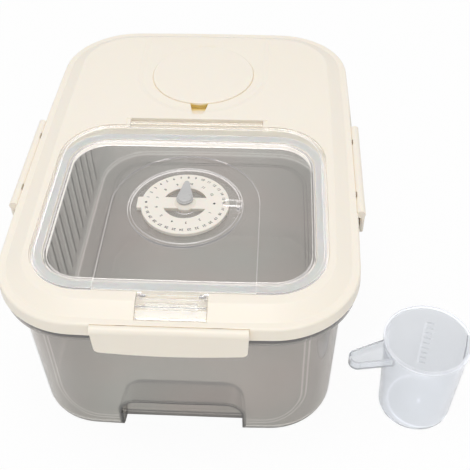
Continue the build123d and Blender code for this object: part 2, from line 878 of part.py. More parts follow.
def flip_lid():
    """The clear lid with bead, arch, dial well, plug wall, hinge barrel, tongue and index."""
    plate = slab(parallel(flip_plan, 0), flip_bottom, flip_top)
    bead = band(flip_plan, 0, flip_bead_width, flip_top - joint_lap, flip_top + flip_bead_height)
    bead = fillet(bead.edges().group_by(Axis.Z)[-1], flip_bead_rounding)
    above = flip_top + 2 * flip_bead_height
    lid = plate + bead - slab(arch_field(), arch_top, above)
    lid = lid + band(
        window_plan, flip_plug_gap, flip_plug_gap + flip_plug_thickness,
        flip_bottom - flip_plug_depth, flip_bottom + joint_lap,
    )
    well_low = well_floor_top - well_floor_thickness
    lid = lid + disc(well_radius + well_wall_thickness, dial_y, well_low, arch_top)
    lid = lid - disc(well_radius, dial_y, well_floor_top, above)
    lid = lid + disc(dial_rest_radius, dial_y, well_floor_top - joint_lap, dial_bottom - dial_rest_gap)
    lid = lid + disc(post_radius, dial_y, well_floor_top, dial_top)
    bore_low = pointer_shaft_bottom - pointer_end_gap
    lid = lid - disc(pointer_shaft_radius + running_gap, dial_y, bore_low, dial_top)
    outer, inner_offset = flip_seal_outlines()
    groove = band(
        window_plan, -outer - flip_seal_gap, -inner_offset + flip_seal_gap,
        flip_bottom, flip_bottom + flip_seal_groove,
    )
    lid = lid - groove
    half = hinge_half_length
    lid = lid + rod(hinge_barrel_radius, -half, half, hinge_y, hinge_height)
    arm_front = flip_back - flip_bead_width
    lid = lid + block(-half, half, arm_front, hinge_y, flip_bottom, flip_bottom + hinge_arm_thickness)
    lid = lid - rod(hinge_pin_radius + running_gap, -half, half, hinge_y, hinge_height)
    return lid + dial_index() + tab_mount() - tab_pin_bores()


def dial_index():
    """Clear finger that reaches over the dial's edge at the right."""
    top = index_bottom + index_thickness
    half = index_width / 2
    root_end = well_radius + well_wall_thickness / 2
    arm = block(index_reach + half, root_end, dial_y - half, dial_y + half, index_bottom, top)
    tip = Pos(index_reach + half, dial_y, (index_bottom + top) / 2) * Cylinder(half, index_thickness)
    root = block(index_root, root_end, dial_y - half, dial_y + half, well_floor_top - joint_lap, top)
    return arm + tip + root


def tab_mount():
    """The tongue in front of the flip lid, with the round nose whose ends hold the tab's pins."""
    x = tab_ear_outer
    tongue = block(-x, x, tab_axis_y, flip_front + joint_lap, flip_bottom, arch_top)
    nose = rod(tab_barrel_radius, -x, x, tab_axis_y, tab_axis_height)
    return tongue + nose


def tab_pin_bores():
    """Bores for the tab's two short pins, in the ends of the nose."""
    x = tab_ear_outer
    deep = x - tab_ear - tab_pin_end_gap
    radius = tab_pin_radius + running_gap
    left = rod(radius, -x, -deep, tab_axis_y, tab_axis_height)
    right = rod(radius, deep, x, tab_axis_y, tab_axis_height)
    return left + right


def flip_lid_seal():
    """Pale ring in the flip lid's groove, resting on the seat round the window."""
    outer, inner = flip_seal_outlines()
    return band(window_plan, -outer, -inner, seat_top, flip_bottom + flip_seal_groove - flip_seal_gap)


def flip_pin_end():
    """Outer end of the flip lid's hinge rod, inside the end blocks."""
    return hinge_slot_end - hinge_block_length / 3


def flip_hinge_pin():
    """The long hinge rod of the flip lid."""
    end = flip_pin_end()
    return rod(hinge_pin_radius, -end, end, hinge_y, hinge_height)


def tab_latch():
    """The clear snap tab: cheeks, top plate, finger lip and hook rib."""
    x = tab_half_width
    top = tab_plate_top
    low = top - tab_plate_thickness
    lip_top = tab_lip_top
    lip_end = tab_lip_top - tab_lip_drop
    profile = Polyline(
        (tab_plate_back, low), (tab_plate_back, top), (tab_plate_front, top), (tab_plate_front, lip_top),
        (tab_lip_front, lip_end), (tab_lip_front, lip_end - tab_lip_thickness),
        (tab_plate_front + tab_lip_thickness, lip_top - tab_lip_thickness),
        (tab_plate_front + tab_lip_thickness, low), close=True,
    )
    section = make_face(profile)
    body = extrude(Plane.YZ * section, amount=x, both=True)
    front_top = [
        edge for edge in body.edges().filter_by(Axis.X)
        if abs(edge.center().Y - tab_plate_front) < 0.1 and abs(edge.center().Z - top) < 0.1
    ]
    body = fillet(front_top, tab_front_rounding)
    rib_y = pocket_back - hook_bead - hook_bead_gap
    rib_x = x - hook_rib_end
    rib = block(-rib_x, rib_x, rib_y - hook_rib_thickness, rib_y, hook_rib_bottom, low + joint_lap)
    bead = rod(hook_bead, -rib_x, rib_x, rib_y, hook_rib_bottom + hook_bead)
    body = body + rib + bead
    for side in (-1, 1):
        near = side * (x - tab_cheek)
        far = side * x
        x0 = min(near, far)
        x1 = max(near, far)
        cheek = rod(tab_barrel_radius, x0, x1, tab_axis_y, tab_axis_height)
        cheek_top = tab_axis_height + tab_barrel_radius
        cheek = cheek + block(x0, x1, tab_plate_back - joint_lap, tab_axis_y, low, cheek_top)
        inner = side * (x - tab_cheek)
        outer = side * (x - tab_cheek / 4)
        bore = rod(
            tab_pin_radius + running_gap, min(inner, outer), max(inner, outer), tab_axis_y, tab_axis_height
        )
        body = body + cheek - bore
    return body


def tab_pin(side):
    """One of the two short pins at the tab's corners."""
    outer = side * (tab_half_width - tab_cheek / 4 - tab_pin_end_gap)
    inner = side * (tab_ear_outer - tab_ear)
    return rod(tab_pin_radius, min(outer, inner), max(outer, inner), tab_axis_y, tab_axis_height)


# Dial

def dial_ring():
    """The cream number ring with its cross bar, hub and finger nub."""
    ring = disc(dial_radius, dial_y, dial_bottom, dial_top)
    nub = block(
        -dial_radius - dial_nub_reach, -dial_radius + dial_nub_reach,
        dial_y - dial_nub_width / 2, dial_y + dial_nub_width / 2,
        dial_bottom, dial_top,
    )
    nub = fillet(nub.edges().filter_by(Axis.Z).sort_by(Axis.X)[0:2], dial_nub_rounding)
    ring = ring + nub
    ring = fillet(ring.edges().group_by(Axis.Z)[-1], dial_rounding)
    hole = disc(dial_hole_radius, dial_y, dial_bottom, dial_top)
    bar = block(
        -dial_hole_radius, dial_hole_radius, dial_y - dial_bar_width / 2, dial_y + dial_bar_width / 2,
        dial_bottom, dial_top,
    )
    ring = ring - (hole - bar)
    hub_points = (
        (0, dial_bottom), (dial_hub_radius, dial_bottom), (dial_hub_radius, dial_top),
        (dial_hub_top_radius, dial_top + dial_hub_rise), (0, dial_top + dial_hub_rise),
    )
    hub = turned(hub_points, dial_y)
    rim = [edge for edge in hub.edges().group_by(Axis.Z)[-1] if edge.length > dial_hub_top_radius]
    ring = ring + fillet(rim, dial_hub_rounding)
    ring = ring - disc(post_radius + running_gap, dial_y, dial_bottom, dial_top)
    shaft_way = pointer_shaft_radius + 2 * running_gap
    return ring - disc(shaft_way, dial_y, dial_top, dial_top + dial_hub_rise)


def dial_pointer():
    """The grey teardrop with a domed hub and a short shaft."""
    low = pointer_bottom
    distance = pointer_reach - pointer_tip_radius
    lean = asin((pointer_hub_radius - pointer_tip_radius) / distance)
    hub = pointer_hub_radius
    tip = pointer_tip_radius
    right_hub = (hub * cos(lean), hub * sin(lean))
    right_tip = (tip * cos(lean), distance + tip * sin(lean))
    left_tip = (-right_tip[0], right_tip[1])
    left_hub = (-right_hub[0], right_hub[1])
    outline = [
        Line(right_hub, right_tip),
        ThreePointArc(right_tip, (0, pointer_reach), left_tip),
        Line(left_tip, left_hub),
        ThreePointArc(left_hub, (0, -hub), right_hub),
    ]
    blade = slab(Pos(0, dial_y) * make_face(outline), low, low + pointer_thickness)
    blade = fillet(blade.edges().group_by(Axis.Z)[-1], pointer_rounding)
    dome = disc(hub - pointer_dome_inset, dial_y, low, low + pointer_thickness + pointer_dome)
    dome = fillet(dome.edges().group_by(Axis.Z)[-1], 0.9 * pointer_dome)
    shaft = disc(pointer_shaft_radius, dial_y, pointer_shaft_bottom, low + joint_lap)
    return blade + dome + shaft


# Round cap

def round_cap():
    """The cream cap with its plug wall and a groove for the ring seal."""
    under = cap_top - cap_flange
    plug = cap_plug_radius
    inner = plug - cap_plug_thickness
    groove = plug - cap_seal_groove
    high = cap_seal_low + cap_seal_height
    points = (
        (0, under), (inner, under), (inner, cap_plug_bottom), (plug, cap_plug_bottom),
        (plug, cap_seal_low), (groove, cap_seal_low), (groove, high), (plug, high), (plug, under),
        (cap_radius, under), (cap_radius, cap_top), (0, cap_top),
    )
    cap = turned(points, cap_y)
    rim = [edge for edge in cap.edges().group_by(Axis.Z)[-1] if edge.length > cap_radius]
    return fillet(rim, cap_rounding)


def cap_seal():
    """Silicone ring in the cap's groove."""
    inner = cap_plug_radius - cap_seal_groove + running_gap
    outer = cap_well_radius - cap_seal_gap
    low = cap_seal_low + cap_seal_end_gap
    high = cap_seal_low + cap_seal_height - cap_seal_end_gap
    crest_low = (low + high - cap_seal_crest) / 2
    crest_high = (low + high + cap_seal_crest) / 2
    side = (outer + inner) / 2
    points = (
        (inner, low), (side, low), (outer, crest_low), (outer, crest_high), (side, high), (inner, high)
    )
    return turned(points, cap_y)


# Measuring cup

def cup_radius_at(height):
    """Outer radius of the cup's wall at a height."""
    return cup_base_radius + (cup_top_radius - cup_base_radius) * height / cup_height


def spout(margin):
    """The pouring lip: a cone that leans out of the wall, grown inward by margin."""
    start = cup_height - spout_height
    upper = Circle(spout_radius - margin)
    lower = Circle(spout_foot_radius - margin / 2)
    high_x = cup_top_radius + spout_reach - spout_radius
    low_x = cup_radius_at(start) - cup_wall - spout_foot_radius / 2
    cone = loft([Pos(low_x, 0, start) * lower, Pos(high_x, 0, cup_height) * upper], ruled=True)
    return Rot(0, 0, spout_angle) * cone


def handle_outline(root, inward):
    """Plan of the handle from its root to a round tip, set in by inward."""
    tip_radius = handle_tip_width / 2 - inward
    root_half = handle_root_width / 2 - inward
    tip_x = cup_top_radius + handle_length - handle_tip_width / 2
    root_x = root + inward
    outline = [
        Line((root_x, -root_half), (tip_x, -tip_radius)),
        ThreePointArc((tip_x, -tip_radius), (tip_x + tip_radius, 0), (tip_x, tip_radius)),
        Line((tip_x, tip_radius), (root_x, root_half)),
        Line((root_x, root_half), (root_x, -root_half)),
    ]
    return make_face(outline)


def cup_handle():
    """The short tray-shaped handle, its hollow open to the top."""
    root = cup_top_radius - handle_overlap
    top = cup_height - handle_drop
    low = top - handle_height
    tray = slab(handle_outline(root, 0), low, top)
    tray = fillet(tray.edges().group_by(Axis.Z)[0], handle_rounding)
    tray = tray - slab(handle_outline(root, handle_wall), low + handle_wall, top)
    return Rot(0, 0, handle_angle) * tray


def cup_scale():
    """The upright rib and its ticks on the inside of the back wall."""
    marks = []
    depth = scale_relief
    height = cup_height - scale_top_gap - scale_low
    middle = scale_low + height / 2
    lean = degrees(atan2(cup_top_radius - cup_base_radius, cup_height))
    inner = cup_radius_at(middle) - cup_wall - depth / 2
    place = Rot(0, 0, scale_angle) * Pos(inner, 0, middle) * Rot(0, lean, 0)
    marks.append(place * Box(2 * depth, scale_rib, height))
    for step in range(scale_tick_count):
        z = scale_low + (step + 0.5) * height / scale_tick_count
        turn = scale_angle - degrees((scale_tick_length + scale_rib) / 2 / inner)
        reach = cup_radius_at(z) - cup_wall - depth / 2
        tick = Box(2 * depth, scale_tick_length, scale_tick_width)
        marks.append(Rot(0, 0, turn) * Pos(reach, 0, z) * tick)
    return marks


def measuring_cup():
    """The translucent cup, standing to the right of the box."""
    outer_points = (
        (0, 0), (cup_base_radius, 0),
        (cup_radius_at(cup_height - cup_rim_height), cup_height - cup_rim_height),
        (cup_top_radius + cup_rim, cup_height - cup_rim_height), (cup_top_radius + cup_rim, cup_height),
        (0, cup_height),
    )
    outer = turned(outer_points, 0)
    foot = [edge for edge in outer.edges().group_by(Axis.Z)[0] if edge.length > cup_base_radius]
    outer = fillet(foot, cup_base_rounding)
    inner_points = (
        (0, cup_floor), (cup_radius_at(cup_floor) - cup_wall, cup_floor),
        (cup_top_radius - cup_wall, cup_height), (0, cup_height),
    )
    inner = turned(inner_points, 0)
    corner = [edge for edge in inner.edges().group_by(Axis.Z)[0] if edge.length > cup_base_radius]
    inner = fillet(corner, cup_inner_rounding)
    cup = outer + spout(0) + cup_handle() - inner - spout(cup_wall)
    cup = cup - disc(cup_foot_radius, 0, 0, cup_foot_depth)
    for mark in cup_scale():
        cup = cup + mark
    return Pos(cup_x, cup_y, 0) * cup


def build():
    """Every piece by the name of its node."""
    pieces = {
        "container": container(),
        "main_lid": main_lid(),
        "lid_seal": lid_seal(),
        "flip_lid": flip_lid(),
        "flip_lid_seal": flip_lid_seal(),
        "flip_hinge_pin": flip_hinge_pin(),
        "tab_latch": tab_latch(),
        "tab_pin_left": tab_pin(-1),
        "tab_pin_right": tab_pin(1),
        "dial_ring": dial_ring(),
        "dial_pointer": dial_pointer(),
        "round_cap": round_cap(),
        "cap_seal": cap_seal(),
        "measuring_cup": measuring_cup(),
    }
    for name, turn, reach, half_chord, shift in latch_sides():
        pieces["latch_" + name] = Rot(0, 0, turn) * latch(reach, half_chord, shift)
        pieces["latch_pin_" + name] = Rot(0, 0, turn) * latch_pin(reach, shift)
    return pieces


os.makedirs("parts", exist_ok=True)
for node, solid in build().items():
    export_step(solid, "parts/" + node + ".step")
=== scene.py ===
# %% [markdown]
# # A rice storage box, dressed for its picture
# The box is a smoke tinted container under a cream lid. Three latches hold the lid down, a clear flip lid
# with a dial closes its window, a round cap closes its back, and a measuring cup stands beside it.
# The solid pieces come from the imported model. This lesson gives them their finishes, adds the printing on
# the dial, paints highlights on the small marks that moulding leaves on the cup's floor, and sets up a
# camera, a floor and a soft light.

# %% Load the imported box
import json
import math

import bpy
from mathutils import Matrix, Vector


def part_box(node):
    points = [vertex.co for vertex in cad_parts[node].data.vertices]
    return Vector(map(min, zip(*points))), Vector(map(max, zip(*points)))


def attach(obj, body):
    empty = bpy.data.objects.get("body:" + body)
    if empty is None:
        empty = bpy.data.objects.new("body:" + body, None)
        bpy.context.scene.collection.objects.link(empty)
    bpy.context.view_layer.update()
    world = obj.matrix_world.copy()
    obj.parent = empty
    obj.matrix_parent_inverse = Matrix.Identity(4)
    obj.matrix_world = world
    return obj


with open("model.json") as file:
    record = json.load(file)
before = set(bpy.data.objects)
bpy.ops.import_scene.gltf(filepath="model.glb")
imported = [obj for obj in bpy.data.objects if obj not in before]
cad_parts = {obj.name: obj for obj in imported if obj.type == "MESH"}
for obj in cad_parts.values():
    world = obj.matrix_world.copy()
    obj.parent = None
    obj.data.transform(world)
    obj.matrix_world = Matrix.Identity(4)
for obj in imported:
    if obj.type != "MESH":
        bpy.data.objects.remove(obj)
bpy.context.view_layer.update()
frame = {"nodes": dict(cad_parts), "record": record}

# %% [markdown]
# ## Where things are
# The printing and the floor are placed from the solids themselves, so they stay seated when a size changes.
# The dial turns about a vertical line through its middle, which lies on the middle line of the lid. The cup
# stands upright, so its middle is one radius in from its rightmost point.

# %% Measure the pieces that carry something
DIAL_FACE_HEIGHT = 0.0029

dial_low, dial_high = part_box("dial_ring")
cap_low, cap_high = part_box("round_cap")
cup_low, cup_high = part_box("measuring_cup")
container_low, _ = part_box("container")
dial_face = dial_low[2] + DIAL_FACE_HEIGHT
dial_center = Vector((0.0, (dial_high[1] + dial_low[1]) / 2, dial_face))
cup_radius = (cup_high[1] - cup_low[1]) / 2
cup_center = Vector((cup_high[0] - cup_radius, (cup_high[1] + cup_low[1]) / 2, 0.0))
print("The dial's face is centred at", [round(v, 4) for v in dial_center])
print("Cup radius", round(cup_radius * 1000, 2), "mm at", [round(v, 4) for v in cup_center])

# %% [markdown]
# ## Small helpers
# The operators of Blender act on whatever is selected, and loading the model leaves it selected. So each
# step first clears the selection, and a new piece is given its name, finish and body in one place. A piece
# is also baked: its place goes into its mesh, so its object sits at the origin.

# %% Helpers for selecting and finishing pieces
def clear_selection():
    if bpy.context.object and bpy.context.object.mode != "OBJECT":
        bpy.ops.object.mode_set(mode="OBJECT")
    bpy.ops.object.select_all(action="DESELECT")


def pick(pieces):
    clear_selection()
    for piece in pieces:
        piece.select_set(True)
    bpy.context.view_layer.objects.active = pieces[0]


def settle(piece):
    pick([piece])
    bpy.ops.object.transform_apply(location=True, rotation=True, scale=True)


def join_pieces(pieces, name):
    pick(pieces)
    bpy.ops.object.join()
    joined = bpy.context.object
    joined.name = name
    joined.data.name = name
    return joined


def dress(piece, finish, body):
    piece.data.materials.clear()
    piece.data.materials.append(finish)
    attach(piece, body)
    print(piece.name, "rides on", body, "with", len(piece.data.polygons), "faces")


# %% [markdown]
# ## Adding and joining nodes
# In the shader editor a node is dropped, its options are set, and lines are drawn to its sockets. These
# helpers do the same in code: a socket is fed either a plain value or another socket. Adding nodes by code
# leaves them in one heap, so the last helper sets them out in columns, each left of whatever it feeds.

# %% Helpers that add nodes
COLUMN_WIDTH = 220
ROW_HEIGHT = 180
END_NODES = ("ShaderNodeOutputMaterial", "ShaderNodeOutputWorld", "NodeGroupOutput")


def feed(tree, socket, value):
    if isinstance(value, bpy.types.NodeSocket):
        tree.links.new(value, socket)
    else:
        socket.default_value = value


def add_node(tree, kind, feeds=None, **settings):
    node = tree.nodes.new(kind)
    for key, value in settings.items():
        setattr(node, key, value)
    for key, value in (feeds or {}).items():
        feed(tree, node.inputs[key], value)
    return node


def lay_out(tree):
    end = next(node for node in tree.nodes if node.bl_idname in END_NODES)
    columns = {end.name: 0}
    waiting = [end]
    while waiting:
        node = waiting.pop(0)
        column = columns[node.name] + 1
        for link in [link for socket in node.inputs for link in socket.links]:
            if columns.get(link.from_node.name, 0) < column:
                columns[link.from_node.name] = column
                waiting.append(link.from_node)
    for column in range(max(columns.values()) + 1):
        names = [name for name, place in columns.items() if place == column]
        for row, name in enumerate(names):
            tree.nodes[name].location = (-COLUMN_WIDTH * column, -ROW_HEIGHT * row)


# %% [markdown]
# ## Sums and masks
# A mask is a value from 0 to 1 that says where something happens. Most masks here come from a comparison,
# such as all that lies behind a line across the lid, and two masks are then combined: both of them at once
# is their product, and either of them is the larger one. Math nodes do all of it.

# %% Helpers for sums and masks
def sum_of(tree, operation, first, second=0.0, third=0.0, clamp=False):
    feeds = {0: first, 1: second, 2: third}
    return add_node(tree, "ShaderNodeMath", feeds, operation=operation, use_clamp=clamp).outputs[0]


def size_of(tree, value):
    return sum_of(tree, "ABSOLUTE", value)


def above(tree, value, limit):
    return sum_of(tree, "GREATER_THAN", value, limit)


def below(tree, value, limit):
    return sum_of(tree, "LESS_THAN", value, limit)


def both(tree, mask, *others):
    for other in others:
        mask = sum_of(tree, "MULTIPLY", mask, other)
    return mask


def either(tree, mask, *others):
    for other in others:
        mask = sum_of(tree, "MAXIMUM", mask, other)
    return mask


def held_back(tree, mask, share):
    return sum_of(tree, "MULTIPLY_ADD", mask, -share, 1.0)


def level_between(tree, value, low, high, bottom=0.0, top=1.0):
    feeds = {"Value": value, "From Min": low, "From Max": high, "To Min": bottom, "To Max": top}
    return add_node(tree, "ShaderNodeMapRange", feeds).outputs["Result"]


# %% [markdown]
# ## Vectors
# Two sums on vectors are needed. The dot product tells how far two directions agree. Taking the height out
# of a place leaves its direction from the middle line, which tells an outer wall from an inner one.

# %% Helpers for vectors
def dot_of(tree, first, second):
    feeds = {0: first, 1: second}
    return add_node(tree, "ShaderNodeVectorMath", feeds, operation="DOT_PRODUCT").outputs["Value"]


def flattened(tree, vector):
    feeds = {0: vector, 1: (1, 1, 0)}
    return add_node(tree, "ShaderNodeVectorMath", feeds, operation="MULTIPLY").outputs["Vector"]


def axes_of(tree, vector):
    return add_node(tree, "ShaderNodeSeparateXYZ", {0: vector}).outputs[:]


# %% [markdown]
# ## Node groups
# An effect that several finishes share is a node group, built once. A group has named sockets on both
# sides, and each finish that uses it fills them in with its own values.

# %% Helpers that start and end a node group
VECTOR = "NodeSocketVector"
COLOR = "NodeSocketColor"
FLOAT = "NodeSocketFloat"


def new_group(name, takes, gives):
    group = bpy.data.node_groups.new(name, "ShaderNodeTree")
    for socket_name, kind, value in takes:
        socket = group.interface.new_socket(name=socket_name, in_out="INPUT", socket_type=kind)
        if value is not None:
            socket.default_value = value
    for socket_name, kind in gives:
        group.interface.new_socket(name=socket_name, in_out="OUTPUT", socket_type=kind)
    return group, add_node(group, "NodeGroupInput").outputs


def end_group(group, results):
    add_node(group, "NodeGroupOutput", results)
    lay_out(group)
    print(group.name, "has", len(group.nodes), "nodes")


# %% [markdown]
# ## The skin of a moulded piece
# A plastic piece copies the steel of its mould. Close up it has a faint grain, and over a hand's width the
# colour and the gloss drift a little, because the melt cooled unevenly. An image could carry that, but two
# noises at two sizes do it with no seams and at any distance. Every finish below uses the same effect with
# its own values, so it is built once as a node group that gives a colour, a roughness and a height.

# %% Name the sockets of moulded skin
moulded_skin, skin = new_group(
    "moulded_skin",
    (
        ("Place", VECTOR, None),
        ("Color", COLOR, (0.8, 0.8, 0.8, 1.0)),
        ("Drift Color", COLOR, (0.7, 0.7, 0.7, 1.0)),
        ("Drift", FLOAT, 0.5),
        ("Roughness", FLOAT, 0.3),
        ("Roughness Spread", FLOAT, 0.05),
        ("Flow Scale", FLOAT, 12.0),
        ("Grain Scale", FLOAT, 1500.0),
    ),
    (("Color", COLOR), ("Roughness", FLOAT), ("Height", FLOAT)),
)
print("moulded_skin takes", len(skin) - 1, "values")

# %% [markdown]
# ## Flow and grain
# The wide noise is the flow. It mixes the two colours, moves the gloss up and down about its middle, and
# swells the surface a little. The fine noise is the grain, which only adds to the height.

# %% Join the two noises of moulded skin
FLOW_DETAIL = 2.0
GRAIN_DETAIL = 3.0
GRAIN_SHARE = 0.35
FLOW_LOW, FLOW_HIGH = 0.3, 0.7


def skin_noise(scale, detail):
    feeds = {"Vector": skin["Place"], "Scale": scale, "Detail": detail}
    return add_node(moulded_skin, "ShaderNodeTexNoise", feeds).outputs["Fac"]


flow = skin_noise(skin["Flow Scale"], FLOW_DETAIL)
grain = skin_noise(skin["Grain Scale"], GRAIN_DETAIL)
drift = sum_of(moulded_skin, "MULTIPLY", flow, skin["Drift"])
tone = add_node(
    moulded_skin, "ShaderNodeMix", {"Factor": drift, "A": skin["Color"], "B": skin["Drift Color"]},
    data_type="RGBA",
)
gloss = level_between(moulded_skin, flow, FLOW_LOW, FLOW_HIGH, -1.0, 1.0)
gloss = sum_of(moulded_skin, "MULTIPLY", gloss, skin["Roughness Spread"])
rough = sum_of(moulded_skin, "ADD", gloss, skin["Roughness"])
relief = sum_of(moulded_skin, "MULTIPLY", grain, GRAIN_SHARE)
height = sum_of(moulded_skin, "ADD", relief, flow)
end_group(moulded_skin, {"Color": tone.outputs["Result"], "Roughness": rough, "Height": height})

# %% [markdown]
# ## Where an edge catches the light
# A sharp corner does not exist on a real moulding. It is a tiny rounding that gathers light from all round,
# so on clear plastic it shows as a bright thread and on smoke plastic as a dark one. The Bevel node tells
# how such a rounding would tilt the surface. Where that differs from the true normal there is an edge.

# %% Build the node group that finds edges
BEVEL_SAMPLES = 4

edge_finder, edge = new_group(
    "edge_finder",
    (("Width", FLOAT, 0.0004), ("Turn Low", FLOAT, 0.02), ("Turn High", FLOAT, 0.15)),
    (("Edge", FLOAT),),
)
rounded = add_node(edge_finder, "ShaderNodeBevel", {"Radius": edge["Width"]}, samples=BEVEL_SAMPLES)
true_side = add_node(edge_finder, "ShaderNodeNewGeometry")
agree = dot_of(edge_finder, rounded.outputs["Normal"], true_side.outputs["Normal"])
turn = sum_of(edge_finder, "SUBTRACT", 1.0, agree)
end_group(edge_finder, {"Edge": level_between(edge_finder, turn, edge["Turn Low"], edge["Turn High"])})

# %% [markdown]
# ## Where light sinks into a crease
# In a thin gap between two cream pieces the light is passed from wall to wall and comes out warm. The
# Ambient Occlusion node tells how open a spot is, and its opposite is the mask for that warm glow.

# %% Build the node group that finds creases
CREASE_SAMPLES = 6

crease_finder, crease = new_group(
    "crease_finder",
    (("Distance", FLOAT, 0.002), ("Open", FLOAT, 0.55), ("Closed", FLOAT, 0.10)),
    (("Crease", FLOAT),),
)
closed_in = add_node(
    crease_finder, "ShaderNodeAmbientOcclusion", {"Distance": crease["Distance"]}, samples=CREASE_SAMPLES
)
end_group(
    crease_finder,
    {"Crease": level_between(crease_finder, closed_in.outputs["AO"], crease["Open"], crease["Closed"])},
)

# %% [markdown]
# ## A finish from the skin
# Each finish is a Principled shader that takes its colour, its roughness and its relief from the group.
# Colours are easiest to judge as they look on a screen, so a helper turns screen values of 0 to 255 into
# the linear values that the shader wants. What is the same all over is set on the shader's own sockets.

# %% Helpers for colours, plain values and places
def screen_color(red, green, blue):
    linear = []
    for value in (red / 255, green / 255, blue / 255):
        linear.append(value / 12.92 if value <= 0.04045 else ((value + 0.055) / 1.055) ** 2.4)
    return (*linear, 1.0)


def set_all_over(tree, values):
    for name, value in values.items():
        tree.nodes["Principled BSDF"].inputs[name].default_value = value


def place_on(tree):
    return tree.nodes["Texture Coordinate"].outputs["Object"]


# %% [markdown]
# ## One finish from its values
# The skin's height goes through a Bump node, whose own normal comes from a Bevel node, so every finish
# also has a hair's width of rounding on its edges without a change to the mesh.

# %% Helper that makes one moulded finish
EDGE_ROUNDING = 0.0004
RELIEF_DEPTH = 0.0001


def moulded_finish(
    name, color, drift_color, drift, roughness, roughness_spread, flow_scale, grain_scale, bump, all_over=None
):
    finish = bpy.data.materials.new(name)
    finish.use_nodes = True
    tree = finish.node_tree
    add_node(tree, "ShaderNodeTexCoord")
    feeds = {
        "Place": place_on(tree), "Color": screen_color(*color), "Drift Color": screen_color(*drift_color),
        "Drift": drift, "Roughness": roughness, "Roughness Spread": roughness_spread,
        "Flow Scale": flow_scale, "Grain Scale": grain_scale,
    }
    skin = add_node(tree, "ShaderNodeGroup", feeds, node_tree=moulded_skin)
    soft_edge = add_node(tree, "ShaderNodeBevel", {"Radius": EDGE_ROUNDING}, samples=BEVEL_SAMPLES)
    feeds = {
        "Strength": bump, "Distance": RELIEF_DEPTH,
        "Height": skin.outputs["Height"], "Normal": soft_edge.outputs["Normal"],
    }
    relief = add_node(tree, "ShaderNodeBump", feeds)
    shader = tree.nodes["Principled BSDF"]
    feed(tree, shader.inputs["Base Color"], skin.outputs["Color"])
    feed(tree, shader.inputs["Roughness"], skin.outputs["Roughness"])
    feed(tree, shader.inputs["Normal"], relief.outputs["Normal"])
    set_all_over(tree, all_over or {})
    print("finish", name)
    return finish


# %% [markdown]
# ## Masks that paint
# One helper paints light into a finish as a faint glow where a mask is high, and another lays a second colour
# over its skin there, which below is always painted light or painted shade. Both mix the new colour over
# whatever already feeds the shader, so later ones lie on top.

# %% Helpers for glow and second colours
BLACK = (0, 0, 0, 1)


def lay_over(tree, socket, under, mask, color):
    feeds = {"Factor": mask, "A": under, "B": color}
    mix = add_node(tree, "ShaderNodeMix", feeds, data_type="RGBA")
    feed(tree, socket, mix.outputs["Result"])


def glow_through(tree, mask, glow):
    socket = tree.nodes["Principled BSDF"].inputs["Emission Color"]
    under = socket.links[0].from_socket if socket.is_linked else BLACK
    lay_over(tree, socket, under, mask, (*glow, 1))
    set_all_over(tree, {"Emission Strength": 1.0})


def paint_through(tree, mask, paint):
    socket = tree.nodes["Principled BSDF"].inputs["Base Color"]
    lay_over(tree, socket, socket.links[0].from_socket, mask, screen_color(*paint))


# %% [markdown]
# ## Masks that find something
# These give the masks: the edges and creases from the two groups, a ramp with stops for a value that rises
# and falls again, and the direction a face looks in, in the piece's own axes so that it turns with it.

# %% Helpers that find edges, creases and directions
def edges_of(tree, width, turn_high):
    feeds = {"Width": width, "Turn High": turn_high}
    return add_node(tree, "ShaderNodeGroup", feeds, node_tree=edge_finder).outputs["Edge"]


def creases_of(tree, distance, open_level=0.55, closed_level=0.10):
    feeds = {"Distance": distance, "Open": open_level, "Closed": closed_level}
    return add_node(tree, "ShaderNodeGroup", feeds, node_tree=crease_finder).outputs["Crease"]


def ramp_of(tree, value, stops):
    ramp = add_node(tree, "ShaderNodeValToRGB", {"Fac": value})
    stones = ramp.color_ramp.elements
    while len(stones) < len(stops):
        stones.new(0.5)
    for stone, (position, level) in zip(stones, stops):
        stone.position = position
        stone.color = (level, level, level, 1)
    return ramp.outputs["Color"]


def own_direction(tree, normal):
    turned = add_node(
        tree, "ShaderNodeVectorTransform", {0: normal},
        vector_type="NORMAL", convert_from="WORLD", convert_to="OBJECT",
    )
    return axes_of(tree, turned.outputs[0])


# %% [markdown]
# ## Lines drawn on a wall
# Light and shade gather in thin lines where one flat of a moulding turns into the next, and here such lines
# are painted. A line along a curve comes from a distance: the first helper gives the distance to an arch with
# round corners, open below or above, and the second is 1 where a distance is near nothing and fades out
# beside it.

# %% Helpers that draw lines
LINE_PEAK = 1.5


def arch_distance(tree, x, z, half_width, height, corner, rising=True):
    across = sum_of(tree, "SUBTRACT", size_of(tree, x), half_width - corner)
    if rising:
        along = sum_of(tree, "SUBTRACT", z, height - corner)
    else:
        along = sum_of(tree, "SUBTRACT", height + corner, z)
    squares = []
    for side in (across, along):
        side = sum_of(tree, "MAXIMUM", side, 0.0)
        squares.append(sum_of(tree, "MULTIPLY", side, side))
    reach = sum_of(tree, "SQRT", sum_of(tree, "ADD", *squares))
    return sum_of(tree, "SUBTRACT", reach, corner)


def line_at(tree, distance, half_line):
    return sum_of(tree, "MULTIPLY_ADD", size_of(tree, distance), -1.0 / half_line, LINE_PEAK, clamp=True)


# %% [markdown]
# ## Cream plastic
# The lid, its latches and the cap are one warm cream with a satin shine. It is opaque, but light enters a
# little way under the skin, which keeps the shadows in its grooves warm. A touch of subsurface does that.

# %% Make the cream finish
cream_plastic = moulded_finish(
    "cream_plastic", color=(250, 242, 230), drift_color=(246, 237, 221), drift=0.5,
    roughness=0.34, roughness_spread=0.03, flow_scale=9.0, grain_scale=1400.0, bump=0.06,
    all_over={
        "Subsurface Weight": 0.12, "Subsurface Scale": 0.002, "Subsurface Radius": (1.0, 0.7, 0.4),
        "IOR": 1.5,
    },
)
cream = cream_plastic.node_tree
cream_x, cream_y, cream_z = axes_of(cream, place_on(cream))
cream_across = size_of(cream, cream_x)
